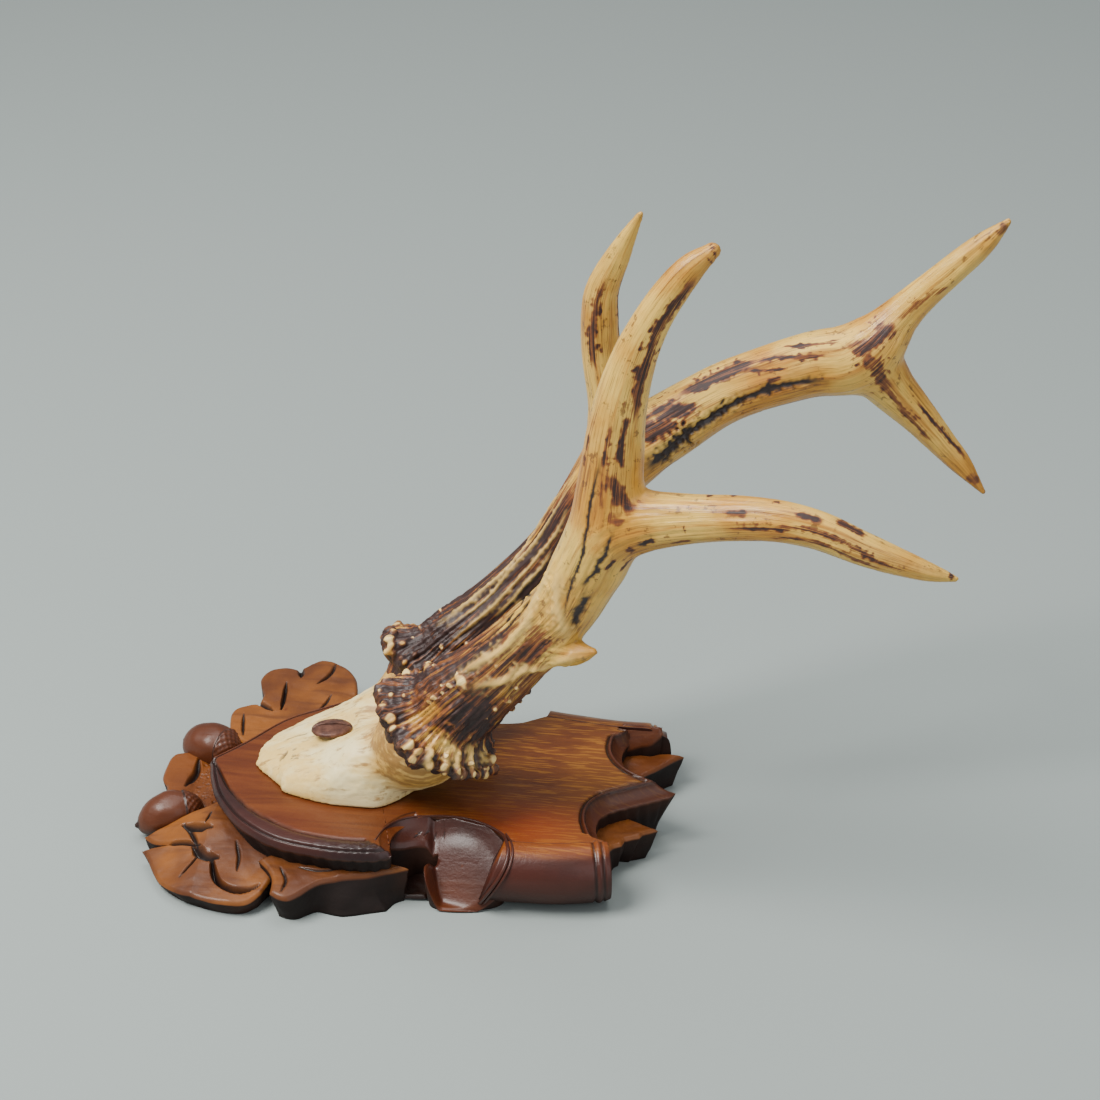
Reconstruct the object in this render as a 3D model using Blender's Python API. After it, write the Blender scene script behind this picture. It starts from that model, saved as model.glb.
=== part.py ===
"""A pair of deer antlers on their skull cap, screwed to a carved oak shield.

Sizes are in millimetres and become metres when a mesh is made. +Z points up out of the
shield's face, the shield's long axis is X with its scrolled head at +X, and the origin is in
the middle of the flat back. The animal's left antler is the one at -Y.
"""

import math

import bmesh
import bpy
import numpy as np

MM = 0.001
GAP = 0.3
WELD = 0.01

# shield
BOARD_THICK = 22.0
LEAF_THICK = 13.0
GROUND_THICK = 9.0
TONGUE_THICK = 12.0
ROLL_RADIUS = 10.8
ROLL_LIFT = 0.6
SCROLL_REACH_X = 21.0
SCROLL_REACH_Y = 18.5
EYE_TOP = (20.0, 27.3)
EYE_SLOPE_X = 0.31
EYE_SLOPE_Y = 1.14
EYE_CLEARANCE = 30.0

# skull cap
SKULL_BASE = BOARD_THICK + GAP
SKULL_SIDE_POWER = 0.85
SKULL_TOP_POWER = 0.6
FLOOR_LOW = (-70.0, -40.0, -20.0)
FLOOR_HIGH = (40.0, 40.0, SKULL_BASE)
# distance below the burr, shift towards the middle, radius
PEDICLE_STATIONS = [
    (22.0, 8.0, 15.0),
    (12.0, 3.6, 15.6),
    (7.0, 1.0, 15.4),
    (3.0, 0.0, 15.2),
    (GAP, 0.0, 15.2),
]

# screw
SCREW_X = -25.6
SCREW_Y = -2.3
SCREW_SEAT = 36.2
SCREW_LEAN_X = -3.5
SCREW_LEAN_Y = -10.0
HEAD_RADIUS = 6.9
HEAD_RISE = 2.6
HEAD_CROWN_ANGLE = 0.25
HEAD_RINGS = 6
SHANK_RADIUS = 2.1
SHANK_LENGTH = 22.0
SLOT_WIDTH = 1.2
SLOT_DEPTH = 1.3
SLOT_TURN = 0.13
SLOT_REACH = 10.0
SLOT_ABOVE = 5.0
HOLE_ABOVE = 16.0

# burr, the knobbly ring at the foot of each antler
BURR_FLARE = 9.6
BURR_AT = 4.6
BURR_HALF = 4.4
BURR_KNOBS = 15
KNOB_HEIGHT = 1.1
KNOB_ROW = 2.6
BURR_INNER_SQUEEZE = 0.22

# the long ridges above the burr; the height is a share of the radius
RIDGES = 8
RIDGE_HEIGHT = 0.13
RIDGE_START = 9.0
RIDGE_RISE = 12.0
RIDGE_FADE = 60.0
RIDGE_TWIST = 0.02

BEAM_SIDES = 30
TINE_SIDES = 12
SPUR_SIDES = 10
SCREW_SIDES = 20
ROLL_SIDES = 18
PEDICLE_SIDES = 18
SCROLL_SIDES = 32
RING_STEP = 5.5
SPUR_STEP = 4.0
SKULL_STEP = 5.0
ROLL_STEP = 16.0
BURR_SPANS = 2
BEAM_FLATNESS = 0.92
TINE_FLATNESS = 0.86
PEDICLE_FLATNESS = 0.95
SHARP_ANGLE = 50.0

# Each antler path point is x, y, z and the radius there. The first three lie in the burr.
LEFT_MAIN = [
    (11.8, -21.3, 51.8, 13.4),
    (14.6, -22.2, 56.2, 14.6),
    (22.5, -23.4, 66.4, 14.4),
    (33.5, -24.0, 78.0, 12.2),
    (47.0, -25.1, 94.1, 10.6),
    (56.3, -26.2, 105.9, 10.7),
    (63.1, -27.6, 120.5, 11.0),
    (69.5, -29.5, 133.8, 10.8),
    (79.4, -31.6, 140.0, 9.6),
    (96.0, -36.0, 144.8, 7.6),
    (116.2, -42.0, 149.6, 6.6),
    (132.0, -44.7, 149.0, 6.0),
    (148.1, -45.3, 143.1, 5.0),
    (164.3, -43.6, 136.9, 3.2),
    (174.6, -42.0, 133.6, 0.9),
]
LEFT_FORK = (74.5, 137.6)
LEFT_FRONT = [
    (65.5, -28.6, 124.0, 9.0),
    (69.0, -29.6, 142.0, 10.4),
    (70.6, -30.0, 158.0, 9.5),
    (72.2, -30.5, 174.2, 8.3),
    (75.8, -30.5, 191.6, 6.9),
    (81.7, -30.5, 206.7, 5.6),
    (91.1, -29.5, 222.0, 4.6),
    (98.4, -28.0, 229.0, 2.8),
]
LEFT_SPUR = [
    (50.0, -27.0, 90.0, 5.0),
    (58.5, -31.5, 91.8, 4.4),
    (63.2, -33.6, 93.3, 2.9),
    (66.3, -34.6, 94.6, 1.2),
]
RIGHT_MAIN = [
    (4.4, 21.0, 43.6, 13.0),
    (7.0, 21.9, 48.0, 14.0),
    (13.5, 24.0, 56.6, 13.4),
    (21.0, 26.4, 64.2, 11.6),
    (30.5, 28.6, 74.0, 10.4),
    (44.2, 31.1, 90.1, 9.6),
    (54.9, 33.3, 108.4, 9.6),
    (62.5, 35.4, 119.5, 11.0),
    (70.5, 38.2, 128.6, 12.0),
    (80.5, 41.7, 134.8, 11.2),
    (99.8, 50.2, 144.9, 10.1),
    (123.5, 58.9, 151.3, 10.9),
    (137.5, 62.2, 153.4, 12.2),
    (146.5, 64.0, 159.5, 10.2),
    (153.6, 64.9, 168.6, 6.6),
    (161.1, 64.9, 177.3, 5.3),
    (176.2, 63.3, 193.9, 4.1),
    (185.2, 61.6, 204.7, 1.0),
]
RIGHT_FORK = (73.6, 133.4)
RIGHT_TOP_FORK = (142.0, 156.0)
RIGHT_FRONT = [
    (64.0, 36.0, 122.0, 8.6),
    (63.6, 36.6, 136.0, 8.6),
    (62.4, 36.5, 147.0, 7.4),
    (59.6, 35.4, 163.0, 6.4),
    (59.1, 33.8, 177.5, 5.9),
    (60.1, 32.7, 187.4, 5.2),
    (65.2, 31.0, 200.0, 3.8),
    (72.1, 28.9, 214.7, 0.9),
]
RIGHT_REAR = [
    (134.0, 62.0, 152.0, 8.0),
    (145.5, 64.6, 149.0, 9.6),
    (153.4, 66.3, 140.4, 7.9),
    (163.1, 67.6, 129.7, 6.0),
    (170.9, 68.2, 120.6, 4.7),
    (177.4, 68.2, 113.4, 3.6),
    (185.6, 67.1, 104.0, 0.7),
]

# Skull cap stations: x, left edge, right edge, height of the sides, height along the middle.
SKULL_STATIONS = [
    (-51.5, -7.0, 3.0, 1.6, 1.6),
    (-48.5, -12.0, 10.5, 3.6, 3.6),
    (-44.0, -16.5, 16.0, 5.8, 6.0),
    (-36.0, -21.0, 21.5, 9.4, 9.8),
    (-26.0, -23.5, 24.5, 14.5, 12.8),
    (-15.0, -24.5, 26.0, 23.0, 16.5),
    (-5.0, -24.5, 26.5, 24.5, 19.5),
    (5.0, -22.5, 26.0, 19.5, 18.5),
    (13.0, -18.5, 23.0, 14.5, 14.5),
    (20.0, -12.0, 17.0, 8.0, 8.0),
]
SKULL_ARC_POINTS = 19
SADDLE_WIDTH = 9.0

# Shield outlines, x and y, anticlockwise; a third item "c" marks a sharp corner.
FIELD = [
    (-68.0, -4.0, "c"), (-65.3, -14.0), (-60.0, -26.0), (-50.0, -38.5), (-36.0, -48.5),
    (-18.0, -53.0), (2.0, -54.0, "c"), (5.0, -45.5), (13.0, -38.5, "c"), (11.5, -44.5),
    (15.5, -49.0), (22.5, -50.5), (31.0, -49.5), (38.0, -47.5, "c"), (39.5, -39.0, "c"),
    (69.0, -34.5, "c"), (61.5, -29.5), (60.0, -23.0), (61.8, -15.5), (71.5, -3.5),
    (90.0, 1.5, "c"), (75.0, 7.0), (65.5, 16.5), (63.6, 27.0), (74.0, 36.5, "c"),
    (39.5, 37.5, "c"), (38.0, 46.0, "c"), (31.0, 48.5), (22.5, 49.0), (15.5, 47.0),
    (11.5, 42.5), (13.0, 36.5, "c"), (5.0, 42.5), (2.0, 49.6, "c"), (-18.0, 46.1),
    (-35.3, 37.9), (-53.3, 22.3),
]
LEFT_LEAF = [
    (-58.0, -14.0, "c"), (-74.0, -29.0, "c"), (-84.0, -31.0, "c"), (-79.0, -36.5, "c"),
    (-83.5, -40.5, "c"), (-76.0, -50.0), (-68.0, -58.5), (-55.0, -62.0), (-44.0, -61.5),
    (-38.5, -56.0, "c"), (-32.0, -38.0, "c"),
]
LEFT_LEAF_TAIL = [
    (-42.0, -46.0, "c"), (-38.0, -56.0), (-33.5, -60.5), (-25.5, -63.0), (-20.0, -60.0, "c"),
    (-12.0, -59.0), (-1.0, -55.5), (9.0, -50.0, "c"), (-5.0, -46.0, "c"), (-30.0, -38.0, "c"),
]
RIGHT_LEAF = [
    (-36.0, 22.0, "c"), (-30.0, 44.0), (-29.5, 56.0), (-35.5, 64.5), (-45.0, 67.5),
    (-53.0, 64.0, "c"), (-59.5, 62.5), (-64.0, 55.5), (-60.5, 46.0, "c"), (-61.0, 40.5, "c"),
    (-66.0, 41.0), (-69.5, 36.0), (-68.0, 28.5), (-54.0, 12.0, "c"),
]
RIGHT_LEAF_TAIL = [
    (-30.0, 36.0, "c"), (-12.0, 39.0, "c"), (5.5, 47.5, "c"), (-3.0, 54.5), (-16.0, 60.5),
    (-27.0, 57.0, "c"),
]
GROUND = [
    (-55.0, -22.0, "c"), (-70.0, -20.0), (-83.0, -14.0), (-85.5, -4.0), (-85.5, 6.0),
    (-80.0, 12.0), (-78.0, 22.0), (-56.0, 24.0, "c"), (-46.0, 0.0, "c"),
]
LEFT_TONGUE = [
    (58.0, -30.0, "c"), (68.5, -27.5, "c"), (74.0, -22.5, "c"), (85.0, -11.5, "c"),
    (76.0, -6.5), (64.0, -6.0, "c"),
]
RIGHT_TONGUE = [
    (60.0, 8.0, "c"), (70.0, 7.0, "c"), (80.0, 17.0, "c"), (89.5, 31.5, "c"),
    (78.0, 34.0, "c"), (60.0, 34.0, "c"),
]
# The leaves' tops slope: height, height, at this y, at this y.
LEFT_LEAF_SLOPE = (5.0, 13.0, -62.0, -36.0)
LEFT_TAIL_SLOPE = (11.0, 14.0, -62.0, -48.0)
RIGHT_LEAF_SLOPE = (15.0, 17.5, 30.0, 68.0)
RIGHT_TAIL_SLOPE = (14.5, 12.0, 44.0, 60.0)
SLAB_FOOT = 1.0
ACORNS = [
    # centre, length direction in the plane of the shield in degrees, half length, half width
    ((-77.2, -21.8, 8.0), 178.0, 12.0, 7.7),
    ((-73.5, 19.5, 10.2), 160.0, 11.4, 8.2),
]
ACORN_POINT = 0.12
ROLLS = [
    [(31.0, -38.6), (50.0, -37.8), (71.0, -33.5)],
    [(31.0, 37.6), (50.0, 36.8), (66.0, 35.5), (82.0, 39.3)],
]
SCROLLS = {"left_scroll": (18.5, -46.0), "right_scroll": (18.5, 45.0)}
# place along the roll from its end, change of radius
ROLL_END_BEAD = [(-6.0, 0.0), (-5.0, -0.9), (-3.6, 0.5), (-1.0, 0.5), (0.0, -0.6)]
# how far a wall's foot is drawn in, and the places the walls lean towards
UNDERCUT = 0.045
FIELD_HUB = (-60.0, 0.0)
TAIL_HUB = (-40.0, 0.0)
TONGUE_HUB = (0.0, 60.0)

OAK = (0.19, 0.055, 0.018, 1.0)
BONE = (0.80, 0.72, 0.52, 1.0)
ANTLER = (0.60, 0.42, 0.17, 1.0)
RUSTY_STEEL = (0.16, 0.08, 0.05, 1.0)


def clear_scene():
    for thing in list(bpy.data.objects):
        bpy.data.objects.remove(thing, do_unlink=True)


def new_collection(name):
    collection = bpy.data.collections.new(name)
    bpy.context.scene.collection.children.link(collection)
    return collection


def principled(name, color, roughness, metallic=0.0):
    material = bpy.data.materials.new(name)
    material.use_nodes = True
    shader = material.node_tree.nodes["Principled BSDF"]
    shader.inputs["Base Color"].default_value = color
    shader.inputs["Roughness"].default_value = roughness
    shader.inputs["Metallic"].default_value = metallic
    return material


def add_object(name, mesh, collection, material=None):
    thing = bpy.data.objects.new(name, mesh)
    collection.objects.link(thing)
    if material is not None:
        mesh.materials.clear()
        mesh.materials.append(material)
    return thing


def hide_cutter(thing):
    thing.hide_render = True
    thing.display_type = "WIRE"
    return thing


def boolean(target, tool, operation):
    modifier = target.modifiers.new(operation.lower(), "BOOLEAN")
    modifier.operation = operation
    modifier.solver = "EXACT"
    modifier.object = tool


def joined(target, tool, operation):
    """One Boolean with a hidden tool of triangles, worked into the target at once."""
    boolean(target, hide_cutter(applied(tool)), operation)
    return applied(target)


def applied(thing):
    """The object's mesh with its modifiers worked in, merged, in place of the old one."""
    graph = bpy.context.evaluated_depsgraph_get()
    mesh = bpy.data.meshes.new_from_object(thing.evaluated_get(graph), depsgraph=graph)
    cleaned = bmesh.new()
    cleaned.from_mesh(mesh)
    bmesh.ops.remove_doubles(cleaned, verts=cleaned.verts, dist=WELD * MM)
    bmesh.ops.triangulate(cleaned, faces=cleaned.faces)
    bmesh.ops.dissolve_degenerate(cleaned, edges=cleaned.edges, dist=WELD * MM)
    bmesh.ops.recalc_face_normals(cleaned, faces=cleaned.faces)
    cleaned.to_mesh(mesh)
    cleaned.free()
    thing.modifiers.clear()
    thing.data = mesh
    return thing


def smooth_path(points, step, fine_spans=0):
    """Catmull-Rom curve through the points, read about every step millimetres.

    The first fine_spans spans are read twice as closely."""
    knots = np.array(points, float)
    before = 2 * knots[0] - knots[1]
    after = 2 * knots[-1] - knots[-2]
    ends = np.vstack([before, knots, after])
    samples = []
    for i in range(1, len(ends) - 2):
        p0, p1, p2, p3 = ends[i - 1], ends[i], ends[i + 1], ends[i + 2]
        length = np.linalg.norm(p2[:3] - p1[:3])
        span_step = step / 2 if i <= fine_spans else step
        count = max(1, int(round(length / span_step)))
        for t in np.arange(count) / count:
            curve = 2 * p1 + (p2 - p0) * t
            curve = curve + (2 * p0 - 5 * p1 + 4 * p2 - p3) * t ** 2
            curve = curve + (3 * p1 - p0 - 3 * p2 + p3) * t ** 3
            samples.append(curve / 2)
    samples.append(knots[-1])
    return np.array(samples)


def nearest_index(samples, place):
    """Index of the sample nearest to a fork, given by its x and z."""
    offset = samples[:, [0, 2]] - np.array(place)
    return int(np.argmin((offset ** 2).sum(1)))


def rings_along(samples, sides, flatness, section=None):
    """One ring of points round each sample; section gives a factor on the radius."""
    spine = samples[:, :3]
    radius = samples[:, 3]
    tangent = np.gradient(spine, axis=0)
    tangent /= np.linalg.norm(tangent, axis=1)[:, None]
    across = np.array([0.0, 1.0, 0.0]) - tangent[:, 1:2] * tangent
    across /= np.linalg.norm(across, axis=1)[:, None]
    outward = np.cross(tangent, across)
    angle = np.linspace(0, 2 * math.pi, sides, endpoint=False)
    steps = np.r_[0, np.cumsum(np.linalg.norm(np.diff(spine, axis=0), axis=1))]
    reach = radius[:, None] * np.ones(sides)
    if section is not None:
        reach = section(steps[:, None], angle[None, :], reach)
    ring = np.cos(angle)[None, :, None] * outward[:, None, :]
    ring = ring + flatness * np.sin(angle)[None, :, None] * across[:, None, :]
    return spine[:, None, :] + reach[:, :, None] * ring


def loft_mesh(name, rings, smooth=True):
    """A closed solid through rings of equal point count, with a flat fan at each end."""
    count, sides = rings.shape[0], rings.shape[1]
    surface = bmesh.new()
    grid = [[surface.verts.new(point * MM) for point in ring] for ring in rings]
    for i in range(count - 1):
        for j in range(sides):
            k = (j + 1) % sides
            surface.faces.new((grid[i][j], grid[i][k], grid[i + 1][k], grid[i + 1][j]))
    for end in (0, count - 1):
        hub = surface.verts.new(rings[end].mean(0) * MM)
        for j in range(sides):
            surface.faces.new((grid[end][j], grid[end][(j + 1) % sides], hub))
    bmesh.ops.recalc_face_normals(surface, faces=surface.faces)
    mesh = bpy.data.meshes.new(name)
    surface.to_mesh(mesh)
    surface.free()
    if smooth:
        mesh.shade_smooth()
        mesh.set_sharp_from_angle(angle=math.radians(SHARP_ANGLE))
    return mesh


def beam_section(inner_side):
    """Burr flare with knobs and the long ridges above it; inner_side is +1 or -1 along Y."""
    def section(along, angle, reach):
        flare = np.exp(-(((along - BURR_AT) / BURR_HALF) ** 2))
        row = np.round(along / KNOB_ROW)
        knobs = KNOB_HEIGHT * np.cos(BURR_KNOBS * angle + math.pi * row)
        squeeze = BURR_INNER_SQUEEZE * np.clip(inner_side * np.sin(angle), 0, 1)
        fade = np.clip((along - RIDGE_START) / RIDGE_RISE, 0, 1) * np.exp(-along / RIDGE_FADE)
        ridges = 1.0 + RIDGE_HEIGHT * fade * np.cos(RIDGES * angle + RIDGE_TWIST * along)
        return (reach * ridges + (BURR_FLARE + knobs) * flare) * (1 - squeeze * flare)
    return section


def build_antler(prefix, main, fork, front, inner_side, parts, cutters, material):
    """Adds the beam and front tine. Returns the beam, and the upper beam's rings and path."""
    samples = smooth_path(main, RING_STEP, BURR_SPANS)
    cut = nearest_index(samples, fork)
    rings = rings_along(samples, BEAM_SIDES, BEAM_FLATNESS, beam_section(inner_side))
    beam = add_object(prefix + "_beam", loft_mesh(prefix + "_beam", rings[:cut + 1]),
                      parts, material)
    upper = rings_along(samples, TINE_SIDES, TINE_FLATNESS)[cut:]
    away = samples[cut + 1, :3] - samples[cut, :3]
    upper[0] += GAP * away / np.linalg.norm(away)
    sleeve_samples = samples.copy()
    sleeve_samples[:, 3] += GAP
    sleeve_rings = rings_along(sleeve_samples, BEAM_SIDES, BEAM_FLATNESS,
                               beam_section(inner_side))
    sleeve = add_object(prefix + "_sleeve", loft_mesh(prefix + "_sleeve", sleeve_rings), cutters)
    tine_rings = rings_along(smooth_path(front, RING_STEP), TINE_SIDES, TINE_FLATNESS)
    tine = add_object(prefix + "_front_tine", loft_mesh(prefix + "_front_tine", tine_rings),
                      parts, material)
    joined(tine, sleeve, "DIFFERENCE")
    return beam, upper, samples[cut:]


def outline_slab(name, outline, thick, collection, low=0.0, resolution=3):
    """A closed outline standing from low to thick, with level top and foot, made a mesh."""
    curve = bpy.data.curves.new(name, "CURVE")
    curve.dimensions = "2D"
    curve.fill_mode = "BOTH"
    curve.extrude = (thick - low) / 2 * MM
    curve.resolution_u = resolution
    spline = curve.splines.new("BEZIER")
    spline.bezier_points.add(len(outline) - 1)
    spline.use_cyclic_u = True
    for point, place in zip(spline.bezier_points, outline):
        point.co = (place[0] * MM, place[1] * MM, 0)
        kind = "VECTOR" if len(place) > 2 else "AUTO"
        point.handle_left_type = kind
        point.handle_right_type = kind
    drawn = bpy.data.objects.new(name + "_outline", curve)
    bpy.context.scene.collection.objects.link(drawn)
    drawn.location.z = (thick + low) / 2 * MM
    return curve_to_mesh(drawn, name, collection)


def curve_to_mesh(drawn, name, collection):
    """A curve object made a welded mesh object in place, and the curve removed."""
    bpy.context.view_layer.update()
    graph = bpy.context.evaluated_depsgraph_get()
    mesh = bpy.data.meshes.new_from_object(drawn.evaluated_get(graph), depsgraph=graph)
    mesh.transform(drawn.matrix_world)
    welded = bmesh.new()
    welded.from_mesh(mesh)
    bmesh.ops.remove_doubles(welded, verts=welded.verts, dist=WELD * MM)
    bmesh.ops.recalc_face_normals(welded, faces=welded.faces)
    welded.to_mesh(mesh)
    welded.free()
    bpy.data.objects.remove(drawn, do_unlink=True)
    return add_object(name, mesh, collection)


def tilt_top(thing, slope):
    """Slopes the slab's top along Y between the two heights of the slope."""
    low_thick, high_thick, y_low, y_high = slope
    for vertex in thing.data.vertices:
        if vertex.co.z > SLAB_FOOT * MM:
            part = (vertex.co.y / MM - y_low) / (y_high - y_low)
            vertex.co.z = (low_thick + (high_thick - low_thick) * part) * MM


def acorn(name, centre, heading, half_length, half_width, collection):
    egg = bmesh.new()
    bmesh.ops.create_uvsphere(egg, u_segments=16, v_segments=10, radius=MM)
    turn = math.radians(heading)
    for vertex in egg.verts:
        along, side, up = vertex.co.z, vertex.co.x, vertex.co.y
        point = 1.0 + ACORN_POINT * max(0.0, along / MM) ** 4
        x, y = along * half_length * point, side * half_width
        vertex.co.x = x * math.cos(turn) - y * math.sin(turn) + centre[0] * MM
        vertex.co.y = x * math.sin(turn) + y * math.cos(turn) + centre[1] * MM
        vertex.co.z = up * half_width + centre[2] * MM
    bmesh.ops.recalc_face_normals(egg, faces=egg.faces)
    mesh = bpy.data.meshes.new(name)
    egg.to_mesh(mesh)
    egg.free()
    return add_object(name, mesh, collection)


def undercut(thing, hub):
    """Draws the slab's foot in towards the hub, so that its walls lean under its top."""
    for vertex in thing.data.vertices:
        if vertex.co.z < SLAB_FOOT * MM:
            vertex.co.x += UNDERCUT * (hub[0] * MM - vertex.co.x)
            vertex.co.y += UNDERCUT * (hub[1] * MM - vertex.co.y)


def roll(name, route, collection):
    """The half-round flank: a rod with a groove and a bead round its end."""
    samples = smooth_path([(x, y, ROLL_RADIUS, ROLL_RADIUS) for x, y in route], ROLL_STEP)
    last = samples[-1]
    run = last[:3] - samples[-2][:3]
    run /= np.linalg.norm(run)
    bead = [np.r_[last[:3] + run * back, ROLL_RADIUS + extra] for back, extra in ROLL_END_BEAD]
    samples = np.vstack([samples[:-1], bead])
    samples[:, 2] = ROLL_RADIUS + ROLL_LIFT
    return add_object(name, loft_mesh(name, rings_along(samples, ROLL_SIDES, 1.0)), collection)


def scroll_cutter(name, place, collection):
    """An oval drum whose bottom is the slanted face of the scroll's eye."""
    bpy.ops.mesh.primitive_cylinder_add(vertices=SCROLL_SIDES, radius=SCROLL_REACH_Y * MM,
                                        depth=EYE_CLEARANCE * MM, location=(0, 0, 0))
    drum = bpy.context.object
    x, y = place
    for vertex in drum.data.vertices:
        is_foot = vertex.co.z < 0
        vertex.co.x = vertex.co.x * SCROLL_REACH_X / SCROLL_REACH_Y + x * MM
        vertex.co.y += y * MM
        lean_x = EYE_SLOPE_X * (vertex.co.x / MM - EYE_TOP[0])
        lean_y = EYE_SLOPE_Y * (EYE_TOP[1] - abs(vertex.co.y) / MM)
        vertex.co.z = (BOARD_THICK + (lean_x + lean_y if is_foot else EYE_CLEARANCE)) * MM
    for owner in list(drum.users_collection):
        owner.objects.unlink(drum)
    drum.name = name
    collection.objects.link(drum)
    return drum


def build_plaque(parts, cutters, material):
    plaque = outline_slab("plaque", FIELD, BOARD_THICK, parts)
    undercut(plaque, FIELD_HUB)
    left_leaf = outline_slab("left_leaf", LEFT_LEAF, LEAF_THICK, cutters)
    tilt_top(left_leaf, LEFT_LEAF_SLOPE)
    left_tail = outline_slab("left_leaf_tail", LEFT_LEAF_TAIL, LEAF_THICK, cutters)
    tilt_top(left_tail, LEFT_TAIL_SLOPE)
    undercut(left_tail, TAIL_HUB)
    right_leaf = outline_slab("right_leaf", RIGHT_LEAF, LEAF_THICK, cutters)
    tilt_top(right_leaf, RIGHT_LEAF_SLOPE)
    right_tail = outline_slab("right_leaf_tail", RIGHT_LEAF_TAIL, LEAF_THICK, cutters)
    tilt_top(right_tail, RIGHT_TAIL_SLOPE)
    ground = outline_slab("ground", GROUND, GROUND_THICK, cutters)
    left_tongue = outline_slab("left_tongue", LEFT_TONGUE, TONGUE_THICK, cutters)
    right_tongue = outline_slab("right_tongue", RIGHT_TONGUE, TONGUE_THICK, cutters)
    undercut(left_tongue, TONGUE_HUB)
    undercut(right_tongue, TONGUE_HUB)
    pieces = [left_leaf, right_leaf, ground, left_tongue, right_tongue]
    for number, (centre, heading, half_length, half_width) in enumerate(ACORNS):
        pieces.append(acorn(f"acorn_{number}", centre, heading, half_length, half_width, cutters))
    for number, route in enumerate(ROLLS):
        pieces.append(roll(f"roll_{number}", route, cutters))
    for piece in pieces:
        joined(plaque, piece, "UNION")
    for name, place in SCROLLS.items():
        joined(plaque, scroll_cutter(name, place, cutters), "DIFFERENCE")
    for leaf_tail in (left_tail, right_tail):
        joined(plaque, leaf_tail, "UNION")
    plaque.data.materials.clear()
    plaque.data.materials.append(material)
    return plaque


def skull_rings():
    """D-shaped sections across the skull cap, flat below and saddled between the antlers."""
    samples = smooth_path(SKULL_STATIONS, SKULL_STEP)
    angle = np.linspace(0, math.pi, SKULL_ARC_POINTS)
    rings = []
    for x, left, right, sides, saddle in samples:
        middle, half = (left + right) / 2, (right - left) / 2
        across = np.sign(np.cos(angle)) * np.abs(np.cos(angle)) ** SKULL_SIDE_POWER
        y = middle + half * across
        dip = (sides - saddle) * np.exp(-(((y - middle) / SADDLE_WIDTH) ** 2))
        z = SKULL_BASE + (sides - dip) * np.clip(np.sin(angle), 0, 1) ** SKULL_TOP_POWER
        rings.append(np.stack([np.full_like(y, x), y, z], axis=1))
    return np.array(rings)


def pedicle_rings(main):
    """The bony stem from inside the skull cap to just under the burr."""
    foot, above = smooth_path(main, RING_STEP, BURR_SPANS)[:2, :3]
    lean = (above - foot) / np.linalg.norm(above - foot)
    samples = []
    for below, inward, radius in PEDICLE_STATIONS:
        centre = foot - below * lean
        centre[1] -= math.copysign(inward, centre[1])
        samples.append((*centre, radius))
    return rings_along(np.array(samples), PEDICLE_SIDES, PEDICLE_FLATNESS)


def build_skull(parts, cutters, material):
    cap = add_object("skull_cap", loft_mesh("skull_cap", skull_rings()), parts)
    for side, main in (("left", LEFT_MAIN), ("right", RIGHT_MAIN)):
        stem = add_object(side + "_pedicle", loft_mesh(side + "_pedicle", pedicle_rings(main)),
                          cutters)
        joined(cap, stem, "UNION")
    floor = add_object("skull_floor", box_mesh("skull_floor", FLOOR_LOW, FLOOR_HIGH), cutters)
    joined(cap, floor, "DIFFERENCE")
    cap.data.materials.clear()
    cap.data.materials.append(material)
    return cap


def box_mesh(name, low, high):
    block = bmesh.new()
    bmesh.ops.create_cube(block, size=1.0)
    low, high = np.array(low, float), np.array(high, float)
    for vertex in block.verts:
        place = (np.array(vertex.co) + 0.5) * (high - low) + low
        vertex.co = place * MM
    mesh = bpy.data.meshes.new(name)
    block.to_mesh(mesh)
    block.free()
    return mesh


def lathe_rings(profile, sides, top, axis):
    """Rings of a turned shape: profile is (distance below top, radius)."""
    axis = np.array(axis)
    side = np.cross([0.0, 1.0, 0.0], axis)
    side /= np.linalg.norm(side)
    other = np.cross(axis, side)
    angle = np.linspace(0, 2 * math.pi, sides, endpoint=False)
    rings = []
    for depth, radius in profile:
        centre = np.array(top) - axis * depth
        ring = np.cos(angle)[:, None] * side + np.sin(angle)[:, None] * other
        rings.append(centre + radius * ring)
    return np.array(rings)


def screw_frame():
    """The screw's axis, pointing out of its head, and the middle of its seat."""
    lean_x, lean_y = math.radians(SCREW_LEAN_X), math.radians(SCREW_LEAN_Y)
    axis = np.array([math.sin(lean_x), -math.sin(lean_y), 1.0])
    axis /= np.linalg.norm(axis)
    return axis, np.array([SCREW_X, SCREW_Y, SCREW_SEAT])


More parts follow.
